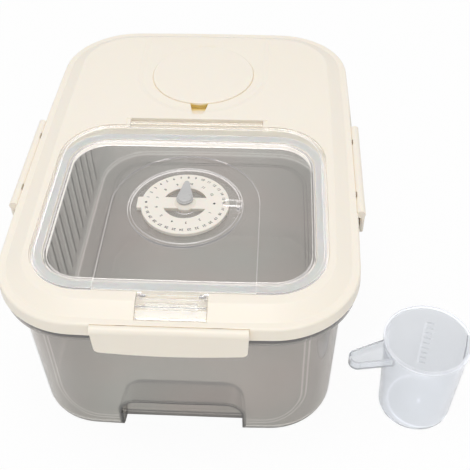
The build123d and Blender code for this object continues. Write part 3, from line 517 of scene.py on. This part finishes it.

# %% [markdown]
# ## Warm light in the finger notch
# A small notch in front of the round cap lets a fingertip in. Its far end lies under the cap's rim, where
# light only comes after many turns between cream walls, and that warm light is painted in as the one amber
# spot on the lid. The mask is the notch's width, below the cap's top and near its rim, and only while the cap
# closes it in.

# %% Find the finger notch
NOTCH_HALF_WIDTH = 0.0079
NOTCH_BELOW_TOP = 0.0009
NOTCH_REACH = 0.0030
NOTCH_UNDER_RIM = 0.0006

notch_closed = creases_of(cream, distance=0.008, open_level=0.90, closed_level=0.60)
notch_near = level_between(cream, cream_y, cap_low[1] - NOTCH_REACH, cap_low[1] + NOTCH_UNDER_RIM)
notch_width = below(cream, cream_across, NOTCH_HALF_WIDTH)
notch_sunk = below(cream, cream_z, cap_high[2] - NOTCH_BELOW_TOP)
notch_warmth = both(cream, notch_near, notch_width, notch_sunk, notch_closed)
print("The notch's warm end starts", round(NOTCH_REACH * 1000, 1), "mm ahead of the cap")

# %% [markdown]
# ## Creases and edges of the lid
# The creases get a painted warm glow and a painted warm shade where the eye sees them bare: behind the
# window, on the front of the skirt and along its sides. Under the clear lid the same painted warmth would
# show as a stain, so it is left out there. The edges get a painted pale highlight, since a rounding always
# turns some part of itself to the light.

# %% Warm the creases and lighten the edges
LID_BACK_START = 0.033
LID_FRONT_END = -0.172
LID_SIDE_START = 0.118

open_lid = either(
    cream,
    above(cream, cream_y, LID_BACK_START),
    below(cream, cream_y, LID_FRONT_END),
    above(cream, cream_across, LID_SIDE_START),
)
cream_crease = both(cream, creases_of(cream, distance=0.002), open_lid, held_back(cream, notch_warmth, 1.0))
glow_through(cream, edges_of(cream, width=0.0010, turn_high=0.08), (0.09, 0.086, 0.08))
glow_through(cream, cream_crease, (0.12, 0.105, 0.085))
paint_through(cream, cream_crease, (240, 228, 204))
paint_through(cream, notch_warmth, (246, 222, 140))
print("cream_plastic has", len(cream.nodes), "nodes")

# %% [markdown]
# ## The dial and its pointer
# The dial ring is a duller cream that ink holds on, and the pointer is a plain grey. Both are small, so
# their drift runs at a finer scale than the lid's.

# %% Make the finishes of the dial
dial_cream = moulded_finish(
    "dial_cream", color=(243, 237, 228), drift_color=(238, 231, 220), drift=0.5,
    roughness=0.42, roughness_spread=0.03, flow_scale=30.0, grain_scale=1800.0, bump=0.06,
    all_over={"Subsurface Weight": 0.1, "Subsurface Scale": 0.001},
)
pointer_grey = moulded_finish(
    "pointer_grey", color=(197, 196, 195), drift_color=(188, 188, 188), drift=0.6,
    roughness=0.28, roughness_spread=0.03, flow_scale=60.0, grain_scale=1600.0, bump=0.05,
)

# %% [markdown]
# ## Smoke plastic
# The container is a clear plastic with a smoke tint. Light that crosses a face takes the shader's base
# colour, and the volume dims it further along its way through the wall, so the tint looks deeper where the
# eye looks through two walls or along one.

# %% Make the smoke finish
smoke_clear = moulded_finish(
    "smoke_clear", color=(200, 208, 203), drift_color=(219, 201, 196), drift=1.0,
    roughness=0.05, roughness_spread=0.02, flow_scale=11.0, grain_scale=900.0, bump=0.004,
    all_over={"Transmission Weight": 0.84, "IOR": 1.5},
)
smoke = smoke_clear.node_tree
smoke_depth = add_node(
    smoke, "ShaderNodeVolumeAbsorption", {"Color": (0.62, 0.61, 0.59, 1.0), "Density": 150.0}
)
feed(smoke, smoke.nodes["Material Output"].inputs["Volume"], smoke_depth.outputs["Volume"])

# %% [markdown]
# ## Which wall is which
# A wall has an outer and an inner face, and the painted light and shade below lie on one or the other. A ray
# that is inside the plastic sees a face from behind with its normal turned round, so the normal is turned
# back first. An outer face then looks away from the middle of the box and an inner one looks towards it. The
# long side walls carry the flutes, and their faces look along X.

# %% Tell the faces of the container apart
WALL_AGREEMENT = 0.05
FLUTED_START, FLUTED_FULL = 0.70, 0.95

smoke_side = add_node(smoke, "ShaderNodeNewGeometry").outputs
smoke_turn_back = held_back(smoke, smoke_side["Backfacing"], 2.0)
smoke_normal = add_node(
    smoke, "ShaderNodeVectorMath", {0: smoke_side["Normal"], "Scale": smoke_turn_back}, operation="SCALE"
).outputs[0]
smoke_outward = dot_of(smoke, smoke_normal, flattened(smoke, place_on(smoke)))
outer_wall = above(smoke, smoke_outward, WALL_AGREEMENT)
inner_wall = below(smoke, smoke_outward, -WALL_AGREEMENT)
looks_x, looks_y, looks_z = own_direction(smoke, smoke_normal)
fluted_wall = ramp_of(smoke, size_of(smoke, looks_x), ((FLUTED_START, 0.0), (FLUTED_FULL, 1.0)))
smoke_x, smoke_y, smoke_z = axes_of(smoke, place_on(smoke))
print("A face counts as fluted from", FLUTED_START, "to", FLUTED_FULL, "along X")

# %% [markdown]
# ## Light in the smoke walls
# The outer faces carry an even painted sheen from the white room. The round corner between floor and wall
# shows as two painted pale bands, and one flank of each flute gets a painted highlight. A ramp over the
# upward tilt of a face picks the bands.

# %% Lighten the roundings and the flutes
FLANK_SHARE = 0.3

inner_rounding = ramp_of(
    smoke, looks_z, ((0.25, 0.0), (0.38, 1.0), (0.50, 0.15), (0.72, 0.15), (0.86, 0.9), (0.97, 0.0))
)
lit_flank = both(smoke, ramp_of(smoke, looks_y, ((0.06, 0.0), (0.32, 1.0))), fluted_wall)
smoke_light = either(smoke, inner_rounding, both(smoke, lit_flank, FLANK_SHARE))
glow_through(smoke, outer_wall, (0.082, 0.081, 0.078))
glow_through(smoke, smoke_light, (0.16, 0.155, 0.15))
print("A lit flank carries", FLANK_SHARE, "of the light of a rounding")

# %% [markdown]
# ## Light lines on the front wall
# Seen through the front, the inside of the box ends in a double painted highlight that runs down both sides,
# round the corners and along the floor. It is an arch that hangs down, drawn twice a little apart. A single
# painted highlight also runs under the flange, all round the outside.

# %% Draw the light lines
FRONT_FACE_END = -0.150
SECOND_LINE_INWARDS = 0.0032
LIGHT_HALF_LINE = 0.0006
FLANGE_FOOT_HEIGHT = 0.1216
FLANGE_HALF_LINE = 0.0008

front_face = both(smoke, below(smoke, smoke_y, FRONT_FACE_END), inner_wall)
inner_outline = arch_distance(
    smoke, smoke_x, smoke_z, half_width=0.092, height=0.011, corner=0.032, rising=False
)
second_outline = sum_of(smoke, "ADD", inner_outline, SECOND_LINE_INWARDS)
inner_lines = either(
    smoke, line_at(smoke, inner_outline, LIGHT_HALF_LINE), line_at(smoke, second_outline, LIGHT_HALF_LINE)
)
flange_foot = sum_of(smoke, "SUBTRACT", smoke_z, FLANGE_FOOT_HEIGHT)
flange_line = both(smoke, line_at(smoke, flange_foot, FLANGE_HALF_LINE), outer_wall)
glow_through(smoke, both(smoke, inner_lines, front_face), (0.24, 0.235, 0.23))
glow_through(smoke, flange_line, (0.16, 0.155, 0.15))
print("The two lines lie", round(SECOND_LINE_INWARDS * 1000, 1), "mm apart")

# %% [markdown]
# ## Shade in the smoke walls
# The inner faces of the fluted walls get a deeper painted shade, because each flute spreads the light that
# passes. Towards the sides the inside of the box also gets a painted shade, a little darker than in its
# middle.

# %% Deepen the inner faces
UNDER_START = 0.0417
UNDER_FULL = 0.0972
UNDER_SHARE = 0.5

smoke_across = size_of(smoke, smoke_x)
side_painted_shade = both(
    smoke,
    level_between(smoke, smoke_across, UNDER_START, UNDER_FULL),
    held_back(smoke, outer_wall, 1.0),
    UNDER_SHARE,
)
paint_through(smoke, side_painted_shade, (176, 170, 165))
paint_through(smoke, both(smoke, fluted_wall, inner_wall), (168, 166, 162))
print("The shade starts", round(UNDER_START * 1000, 1), "mm from the middle")

# %% [markdown]
# ## Dark lines of the container
# Tinted plastic is darkest where the eye looks along it, and here that dark is painted in as shade: at its
# edges, at the top of its rim, and at the turns of the hand grip. The grip is a recess at the foot of the
# front wall, so it shows two arches of painted shade, a bold one at its mouth and a thin one at its back
# wall.

# %% Draw the dark lines
RIM_DARK_START = 0.1236
RIM_DARK_FULL = 0.1243
GRIP_MOUTH_END = -0.1640
GRIP_BACK = -0.1465
GRIP_BACK_REACH = 0.0035
GRIP_MOUTH_HALF_LINE = 0.0010
GRIP_BACK_HALF_LINE = 0.0006
FLUTED_EDGE_SHARE = 0.8

rim_side = both(smoke, level_between(smoke, smoke_z, RIM_DARK_START, RIM_DARK_FULL), outer_wall)
grip_mouth = arch_distance(smoke, smoke_x, smoke_z, half_width=0.0461, height=0.0347, corner=0.014)
grip_mouth_line = line_at(smoke, grip_mouth, GRIP_MOUTH_HALF_LINE)
grip_mouth_line = both(smoke, grip_mouth_line, below(smoke, smoke_y, GRIP_MOUTH_END))
grip_back = arch_distance(smoke, smoke_x, smoke_z, half_width=0.0470, height=0.0335, corner=0.0165)
grip_depth = sum_of(smoke, "COMPARE", smoke_y, GRIP_BACK, GRIP_BACK_REACH)
grip_back_line = both(smoke, line_at(smoke, grip_back, GRIP_BACK_HALF_LINE), grip_depth)
smoke_edges = edges_of(smoke, width=0.0010, turn_high=0.07)
plain_wall = held_back(smoke, fluted_wall, FLUTED_EDGE_SHARE)
paint_through(smoke, both(smoke, smoke_edges, plain_wall), (84, 80, 80))
paint_through(smoke, either(smoke, rim_side, grip_mouth_line, grip_back_line), (44, 42, 44))
print("smoke_clear has", len(smoke.nodes), "nodes")

# %% [markdown]
# ## Clear plastic
# The flip lid and its snap tab are polished and have no tint. A sheet of it is all but unseen from above,
# and what shows are its edges and upright walls, which get painted pale bands of light.

# %% Make the clear finish
clear_plastic = moulded_finish(
    "clear_plastic", color=(250, 250, 249), drift_color=(246, 247, 246), drift=0.5,
    roughness=0.03, roughness_spread=0.01, flow_scale=10.0, grain_scale=900.0, bump=0.03,
    all_over={"Transmission Weight": 1.0, "IOR": 1.5},
)
clear = clear_plastic.node_tree
_, clear_y, _ = axes_of(clear, place_on(clear))

# %% [markdown]
# ## Bands of the clear lid
# The painted pale bands fade towards the tab, which the front lamp already lights, and stop at the hinge,
# whose barrel lies in a cream slot, so that cream is painted over the barrel with a faint painted glow. The
# tab itself gets a faint painted glow.

# %% Lighten the edges and upright walls
TAB_FADE_START, TAB_FADE_END = -0.158, -0.150
TAB_LEAST = 0.2
HINGE_START, HINGE_FULL = 0.0235, 0.0255
HINGE_SHARE = 0.95
TAB_END = -0.1535

clear_normal = add_node(clear, "ShaderNodeNewGeometry").outputs["Normal"]
clear_looks_up = size_of(clear, own_direction(clear, clear_normal)[2])
clear_upright = ramp_of(clear, clear_looks_up, ((0.35, 0.55), (0.9, 0.0)))
clear_hinge = level_between(clear, clear_y, HINGE_START, HINGE_FULL)
clear_lit = both(
    clear,
    either(clear, edges_of(clear, width=0.0006, turn_high=0.09), clear_upright),
    level_between(clear, clear_y, TAB_FADE_START, TAB_FADE_END, bottom=TAB_LEAST),
    held_back(clear, clear_hinge, HINGE_SHARE),
)
glow_through(clear, below(clear, clear_y, TAB_END), (0.03, 0.029, 0.029))
glow_through(clear, clear_hinge, (0.075, 0.074, 0.071))
glow_through(clear, clear_lit, (0.42, 0.40, 0.40))
paint_through(clear, clear_hinge, (244, 241, 235))
print("clear_plastic has", len(clear.nodes), "nodes")

# %% [markdown]
# ## The cup's plastic
# The cup is a milky plastic that blurs what is behind it. Less light passes straight through than in the
# lid, it bends less, and the rest is spread in the wall.

# %% Make the cup's finish
cup_clear = moulded_finish(
    "cup_clear", color=(242, 244, 247), drift_color=(236, 239, 244), drift=0.6,
    roughness=0.14, roughness_spread=0.04, flow_scale=25.0, grain_scale=1100.0, bump=0.03,
    all_over={"Transmission Weight": 0.78, "IOR": 1.3},
)
cup = cup_clear.node_tree
_, _, cup_z = axes_of(cup, place_on(cup))

# %% [markdown]
# ## Light in the cup
# The outside of the cup gets a painted sheen that makes it paler than its inside, and a painted sheen whitens
# it where the wall turns away from the eye, which the Layer Weight node measures. Its rim and its edges get
# the palest painted highlights. On the floor a moulded ring and the dot of the gate, where the plastic
# entered, show through the wall as painted highlights. All of these are found from the distance to the cup's
# own middle line. The handle is held back, since its thin edges would go white.

# %% Find the parts of the cup
CUP_AGREEMENT = 0.012
CUP_RIM_LOW, CUP_RIM_HIGH = 0.0007, 0.0003
CUP_FLOOR_TOP = 0.0042
CUP_RING_RADIUS = 0.0245
CUP_RING_HALF_LINE = 0.0005
CUP_GATE_RADIUS = 0.0014
HANDLE_START = 0.001
HANDLE_SHARE = 0.65
GRAZING_START = 0.62

cup_from_middle = add_node(
    cup, "ShaderNodeVectorMath", {0: place_on(cup), 1: cup_center}, operation="SUBTRACT"
).outputs["Vector"]
cup_sideways = flattened(cup, cup_from_middle)
cup_away = add_node(cup, "ShaderNodeVectorMath", {0: cup_sideways}, operation="LENGTH").outputs["Value"]
cup_normal = add_node(cup, "ShaderNodeNewGeometry").outputs["Normal"]
cup_outside = above(cup, dot_of(cup, cup_normal, cup_sideways), CUP_AGREEMENT)
cup_body = held_back(cup, above(cup, cup_away, cup_radius + HANDLE_START), HANDLE_SHARE)
cup_facing = add_node(cup, "ShaderNodeLayerWeight", {"Blend": 0.5}).outputs["Facing"]
cup_grazing = level_between(cup, cup_facing, GRAZING_START, 1.0)
cup_edges = edges_of(cup, width=0.0009, turn_high=0.12)
cup_rim = level_between(cup, cup_z, cup_high[2] - CUP_RIM_LOW, cup_high[2] - CUP_RIM_HIGH)
cup_ring = sum_of(cup, "SUBTRACT", cup_away, CUP_RING_RADIUS)
cup_mark_highlights = either(cup, line_at(cup, cup_ring, CUP_RING_HALF_LINE), below(cup, cup_away, CUP_GATE_RADIUS))
print("The cup's floor ring has a radius of", round(CUP_RING_RADIUS * 1000, 1), "mm")

# %% [markdown]
# ## From the wall to the marks
# Each painted glow lies over the one before it, so they go on from the widest to the smallest. The highlights
# of the marks are only wanted on the floor, so their mask ends at its top.

# %% Lighten the cup from its wall to its marks
glow_through(cup, cup_outside, (0.055, 0.056, 0.058))
glow_through(cup, both(cup, cup_grazing, cup_body), (0.13, 0.13, 0.14))
glow_through(cup, both(cup, cup_edges, cup_body), (0.16, 0.16, 0.17))
glow_through(cup, cup_rim, (0.20, 0.20, 0.21))
glow_through(cup, both(cup, cup_mark_highlights, below(cup, cup_z, CUP_FLOOR_TOP)), (0.42, 0.42, 0.44))
print("cup_clear has", len(cup.nodes), "nodes")

# %% [markdown]
# ## Seals, rods and ink
# The seals are soft silicone, pale and dull. The rods are drawn steel wire, the only metal here. The
# dial's ink is a dark grey that isn't quite even.

# %% Make the finishes of the small pieces
pale_seal = moulded_finish(
    "pale_seal", color=(248, 245, 244), drift_color=(243, 239, 237), drift=0.5,
    roughness=0.5, roughness_spread=0.05, flow_scale=40.0, grain_scale=900.0, bump=0.1,
    all_over={"Subsurface Weight": 0.2, "Subsurface Scale": 0.002},
)
steel_pin = moulded_finish(
    "steel_pin", color=(150, 148, 150), drift_color=(135, 134, 138), drift=0.5,
    roughness=0.45, roughness_spread=0.05, flow_scale=90.0, grain_scale=2500.0, bump=0.1,
    all_over={"Metallic": 1.0},
)
dial_ink = moulded_finish(
    "dial_ink", color=(74, 72, 72), drift_color=(96, 94, 93), drift=0.6,
    roughness=0.5, roughness_spread=0.05, flow_scale=300.0, grain_scale=2500.0, bump=0.1,
)

# %% [markdown]
# ## Give the solids their finishes
# The record says which slot each node has, so the finish is looked up by that name. A solid keeps its mesh
# and its place, and only the material in its slot changes.

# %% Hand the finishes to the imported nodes
finishes = {
    "smoke_clear": smoke_clear,
    "cream_plastic": cream_plastic,
    "dial_cream": dial_cream,
    "pointer_grey": pointer_grey,
    "clear_plastic": clear_plastic,
    "pale_seal": pale_seal,
    "steel_pin": steel_pin,
    "cup_clear": cup_clear,
}
for row in frame["record"]["subparts"]:
    for material_slot in frame["nodes"][row["node"]].material_slots:
        material_slot.material = finishes[row["material_slot"]]
    print(row["node"], "has", row["material_slot"])

# %% [markdown]
# ## The dial's printing
# The ring is printed with days 1 to 31 near its edge and months 1 to 12 near its hole. They could be
# painted with a texture, but real letters of ink stay sharp in a close view and turn with the ring. Each
# number is a text object that is made a mesh while it still lies flat at the origin, then turned and moved
# to its place with its top outwards.

# %% Helper that prints one number
INK_DEPTH = 0.00008
INK_GAP = 0.00002
NUMBER_SIZE = 0.0030
NUMBER_WEIGHT = 0.012
CURVE_STEPS = 4


def dial_place(radius, angle):
    x = dial_center.x + radius * math.cos(angle)
    y = dial_center.y + radius * math.sin(angle)
    return (x, y, dial_face + INK_GAP)


def printed_number(text, radius, angle):
    clear_selection()
    bpy.ops.object.text_add(location=(0, 0, 0))
    letters = bpy.context.object.data
    letters.body = text
    letters.size = NUMBER_SIZE
    letters.align_x = "CENTER"
    letters.align_y = "CENTER"
    letters.extrude = INK_DEPTH / 2
    letters.offset = NUMBER_SIZE * NUMBER_WEIGHT
    letters.resolution_u = CURVE_STEPS
    bpy.ops.object.convert(target="MESH")
    number = bpy.context.object
    number.rotation_euler = (0, 0, angle - math.pi / 2)
    number.location = dial_place(radius, angle)
    settle(number)
    return number


# %% [markdown]
# ## A printed dot
# A plain dot stands where each row of numbers starts. It is a filled circle that is extruded by the
# thickness of the ink, with its normals turned outwards afterwards.

# %% Helper that prints one dot
DOT_RADIUS = 0.0009
DOT_CORNERS = 24


def printed_dot(radius, angle):
    clear_selection()
    bpy.ops.mesh.primitive_circle_add(
        vertices=DOT_CORNERS, radius=DOT_RADIUS, fill_type="NGON", location=dial_place(radius, angle)
    )
    dot = bpy.context.object
    bpy.ops.object.mode_set(mode="EDIT")
    bpy.ops.mesh.select_all(action="SELECT")
    bpy.ops.mesh.extrude_region_move(TRANSFORM_OT_translate={"value": (0, 0, INK_DEPTH / 2)})
    bpy.ops.mesh.select_all(action="SELECT")
    bpy.ops.mesh.normals_make_consistent(inside=False)
    bpy.ops.object.mode_set(mode="OBJECT")
    settle(dot)
    return dot


# %% [markdown]
# ## Two rows of numbers
# Both rows are printed the same way. A row has one more place than it has numbers, since its dot takes the
# first. The days start at the left of the dial and the months at its right, and both run clockwise.

# %% Print the days and the months
# name, last number, radius of the numbers, radius of the dot, angle of the dot
number_rows = (
    ("dial_day_numbers", 31, 0.0286, 0.0290, math.pi),
    ("dial_month_numbers", 12, 0.0214, 0.0216, 0.0),
)
for row_name, last_number, number_radius, dot_radius, start_angle in number_rows:
    marks = [printed_dot(dot_radius, start_angle)]
    for number in range(1, last_number + 1):
        angle = start_angle - math.radians(number * 360 / (last_number + 1))
        marks.append(printed_number(str(number), number_radius, angle))
    dress(join_pieces(marks, row_name), dial_ink, "dial")

# %% [markdown]
# ## The camera
# The picture was taken from above the front, a little to the right of the middle, with the camera about
# 40 cm higher than the lid. The place, the turn and the lens were worked out from the corners of the lid
# and the foot, so the model lies over the photograph. The camera turns by its own three axes.

# %% Place the camera
PHOTO_WIDTH = 470
FOCAL_PIXELS = 832.38
SENSOR_WIDTH = 36.0
CAMERA_PLACE = Vector((0.06626, -0.52087, 0.55684))
CAMERA_LOOK = Vector((-0.04686, 0.71415, -0.69842)).normalized()
CAMERA_ROLL = math.radians(-1.123)
NEAREST_SEEN = 0.01

level_right = CAMERA_LOOK.cross(Vector((0, 0, 1))).normalized()
level_up = level_right.cross(CAMERA_LOOK)
camera_right = level_right * math.cos(CAMERA_ROLL) + level_up * math.sin(CAMERA_ROLL)
camera_up = level_up * math.cos(CAMERA_ROLL) - level_right * math.sin(CAMERA_ROLL)
clear_selection()
bpy.ops.object.camera_add(location=CAMERA_PLACE)
camera = bpy.context.object
camera.name = "photo_camera"
camera.rotation_euler = Matrix((camera_right, camera_up, -CAMERA_LOOK)).transposed().to_euler()
camera.data.sensor_width = SENSOR_WIDTH
camera.data.lens = FOCAL_PIXELS / PHOTO_WIDTH * SENSOR_WIDTH
camera.data.clip_start = NEAREST_SEEN
bpy.context.scene.camera = camera
print("The camera's lens is", round(camera.data.lens, 2), "mm")

# %% [markdown]
# ## The floor
# The box stands on a white sweep. A wide plane does for that, cut into a few squares, just under the foot.

# %% Lay the floor
FLOOR_WIDTH = 6.0
FLOOR_GAP = 0.0002
FLOOR_CUTS = 3

clear_selection()
bpy.ops.mesh.primitive_plane_add(size=FLOOR_WIDTH, location=(0, 0, container_low[2] - FLOOR_GAP))
floor = bpy.context.object
floor.name = "studio_floor"
bpy.ops.object.mode_set(mode="EDIT")
bpy.ops.mesh.select_all(action="SELECT")
bpy.ops.mesh.subdivide(number_cuts=FLOOR_CUTS)
bpy.ops.object.mode_set(mode="OBJECT")
settle(floor)
print("floor at", round((container_low[2] - FLOOR_GAP) * 1000, 2), "mm")

# %% [markdown]
# ## Paper that stays white
# A floor under a soft light never comes out quite white, so what the camera sees of it, straight or through
# a clear wall, is mostly a plain white glow with a share of the real, shaded floor. That keeps the
# background white and still leaves the soft shadow that ties the box to the ground.

# %% Make the paper and put it down
GLOW_SHARE = 0.95
FIBRE_SCALE = 300.0


def seen_by_camera(tree):
    path = add_node(tree, "ShaderNodeLightPath").outputs
    return either(tree, path["Is Camera Ray"], path["Is Transmission Ray"])


floor_paper = bpy.data.materials.new("floor_paper")
floor_paper.use_nodes = True
paper = floor_paper.node_tree
paper_place = add_node(paper, "ShaderNodeTexCoord").outputs["Object"]
paper_fibre = add_node(paper, "ShaderNodeTexNoise", {"Vector": paper_place, "Scale": FIBRE_SCALE})
paper_feeds = {"Factor": paper_fibre.outputs["Fac"], "A": (0.90, 0.90, 0.90, 1), "B": (0.93, 0.93, 0.93, 1)}
paper_tone = add_node(paper, "ShaderNodeMix", paper_feeds, data_type="RGBA")
paper_shader = paper.nodes["Principled BSDF"]
feed(paper, paper_shader.inputs["Base Color"], paper_tone.outputs["Result"])
set_all_over(paper, {"Roughness": 0.9, "Specular IOR Level": 0.1})
paper_glow = add_node(paper, "ShaderNodeEmission", {"Strength": 1.0})
paper_share = both(paper, seen_by_camera(paper), GLOW_SHARE)
paper_mix = add_node(
    paper, "ShaderNodeMixShader", {0: paper_share, 1: paper_shader.outputs[0], 2: paper_glow.outputs[0]}
)
feed(paper, paper.nodes["Material Output"].inputs["Surface"], paper_mix.outputs[0])
floor.data.materials.append(floor_paper)
print("floor_paper has", len(paper.nodes), "nodes")

# %% [markdown]
# ## The light
# A product picture on white is lit from all round. The world gives an even, shadowless half of the light,
# and is plain white where the camera looks at it, straight or through a clear wall.

# %% Light the world evenly
WORLD_LEVEL = 0.64

world = bpy.data.worlds.new("white_studio")
bpy.context.scene.world = world
world.use_nodes = True
sky = world.node_tree
sky_level = level_between(sky, seen_by_camera(sky), 0.0, 1.0, bottom=WORLD_LEVEL)
sky_light = sky.nodes["Background"]
sky_light.inputs["Color"].default_value = (1, 1, 1, 1)
feed(sky, sky_light.inputs["Strength"], sky_level)
print("The world gives a level of", WORLD_LEVEL)

# %% [markdown]
# ## Two soft lamps
# Two large soft lamps give the rest of the light: one overhead for the lid, and a warmer one in front for
# the skirt, the latches and the cup. A wide lamp far off gives shadows with no hard edge.

# %% Hang the two lamps
LAMP_WIDTH = 0.6


def soft_lamp(name, place, target, watts, color):
    clear_selection()
    bpy.ops.object.light_add(type="AREA", location=place)
    lamp = bpy.context.object
    lamp.name = name
    lamp.data.shape = "SQUARE"
    lamp.data.size = LAMP_WIDTH
    lamp.data.energy = watts
    lamp.data.color = color
    aim = Vector(target) - Vector(place)
    lamp.rotation_euler = aim.to_track_quat("-Z", "Y").to_euler()
    print(name, "gives", watts, "W")


soft_lamp("overhead_lamp", place=(-0.1, -0.12, 1.6), target=(0, 0, 0.1), watts=6.9, color=(1.0, 1.0, 1.0))
soft_lamp("front_lamp", place=(0.4, -1.4, 1.1), target=(0, 0, 0.08), watts=3.0, color=(1.0, 0.97, 0.88))
bpy.context.scene.view_settings.view_transform = "Standard"

# %% [markdown]
# ## Put the nodes in order
# The finishes are done, so their nodes are now set out in columns. Whoever opens a material in the shader
# editor can then follow it from left to right.

# %% Set out every node tree
for owner in (*finishes.values(), dial_ink, floor_paper, world):
    lay_out(owner.node_tree)
    print(owner.name, "is set out")
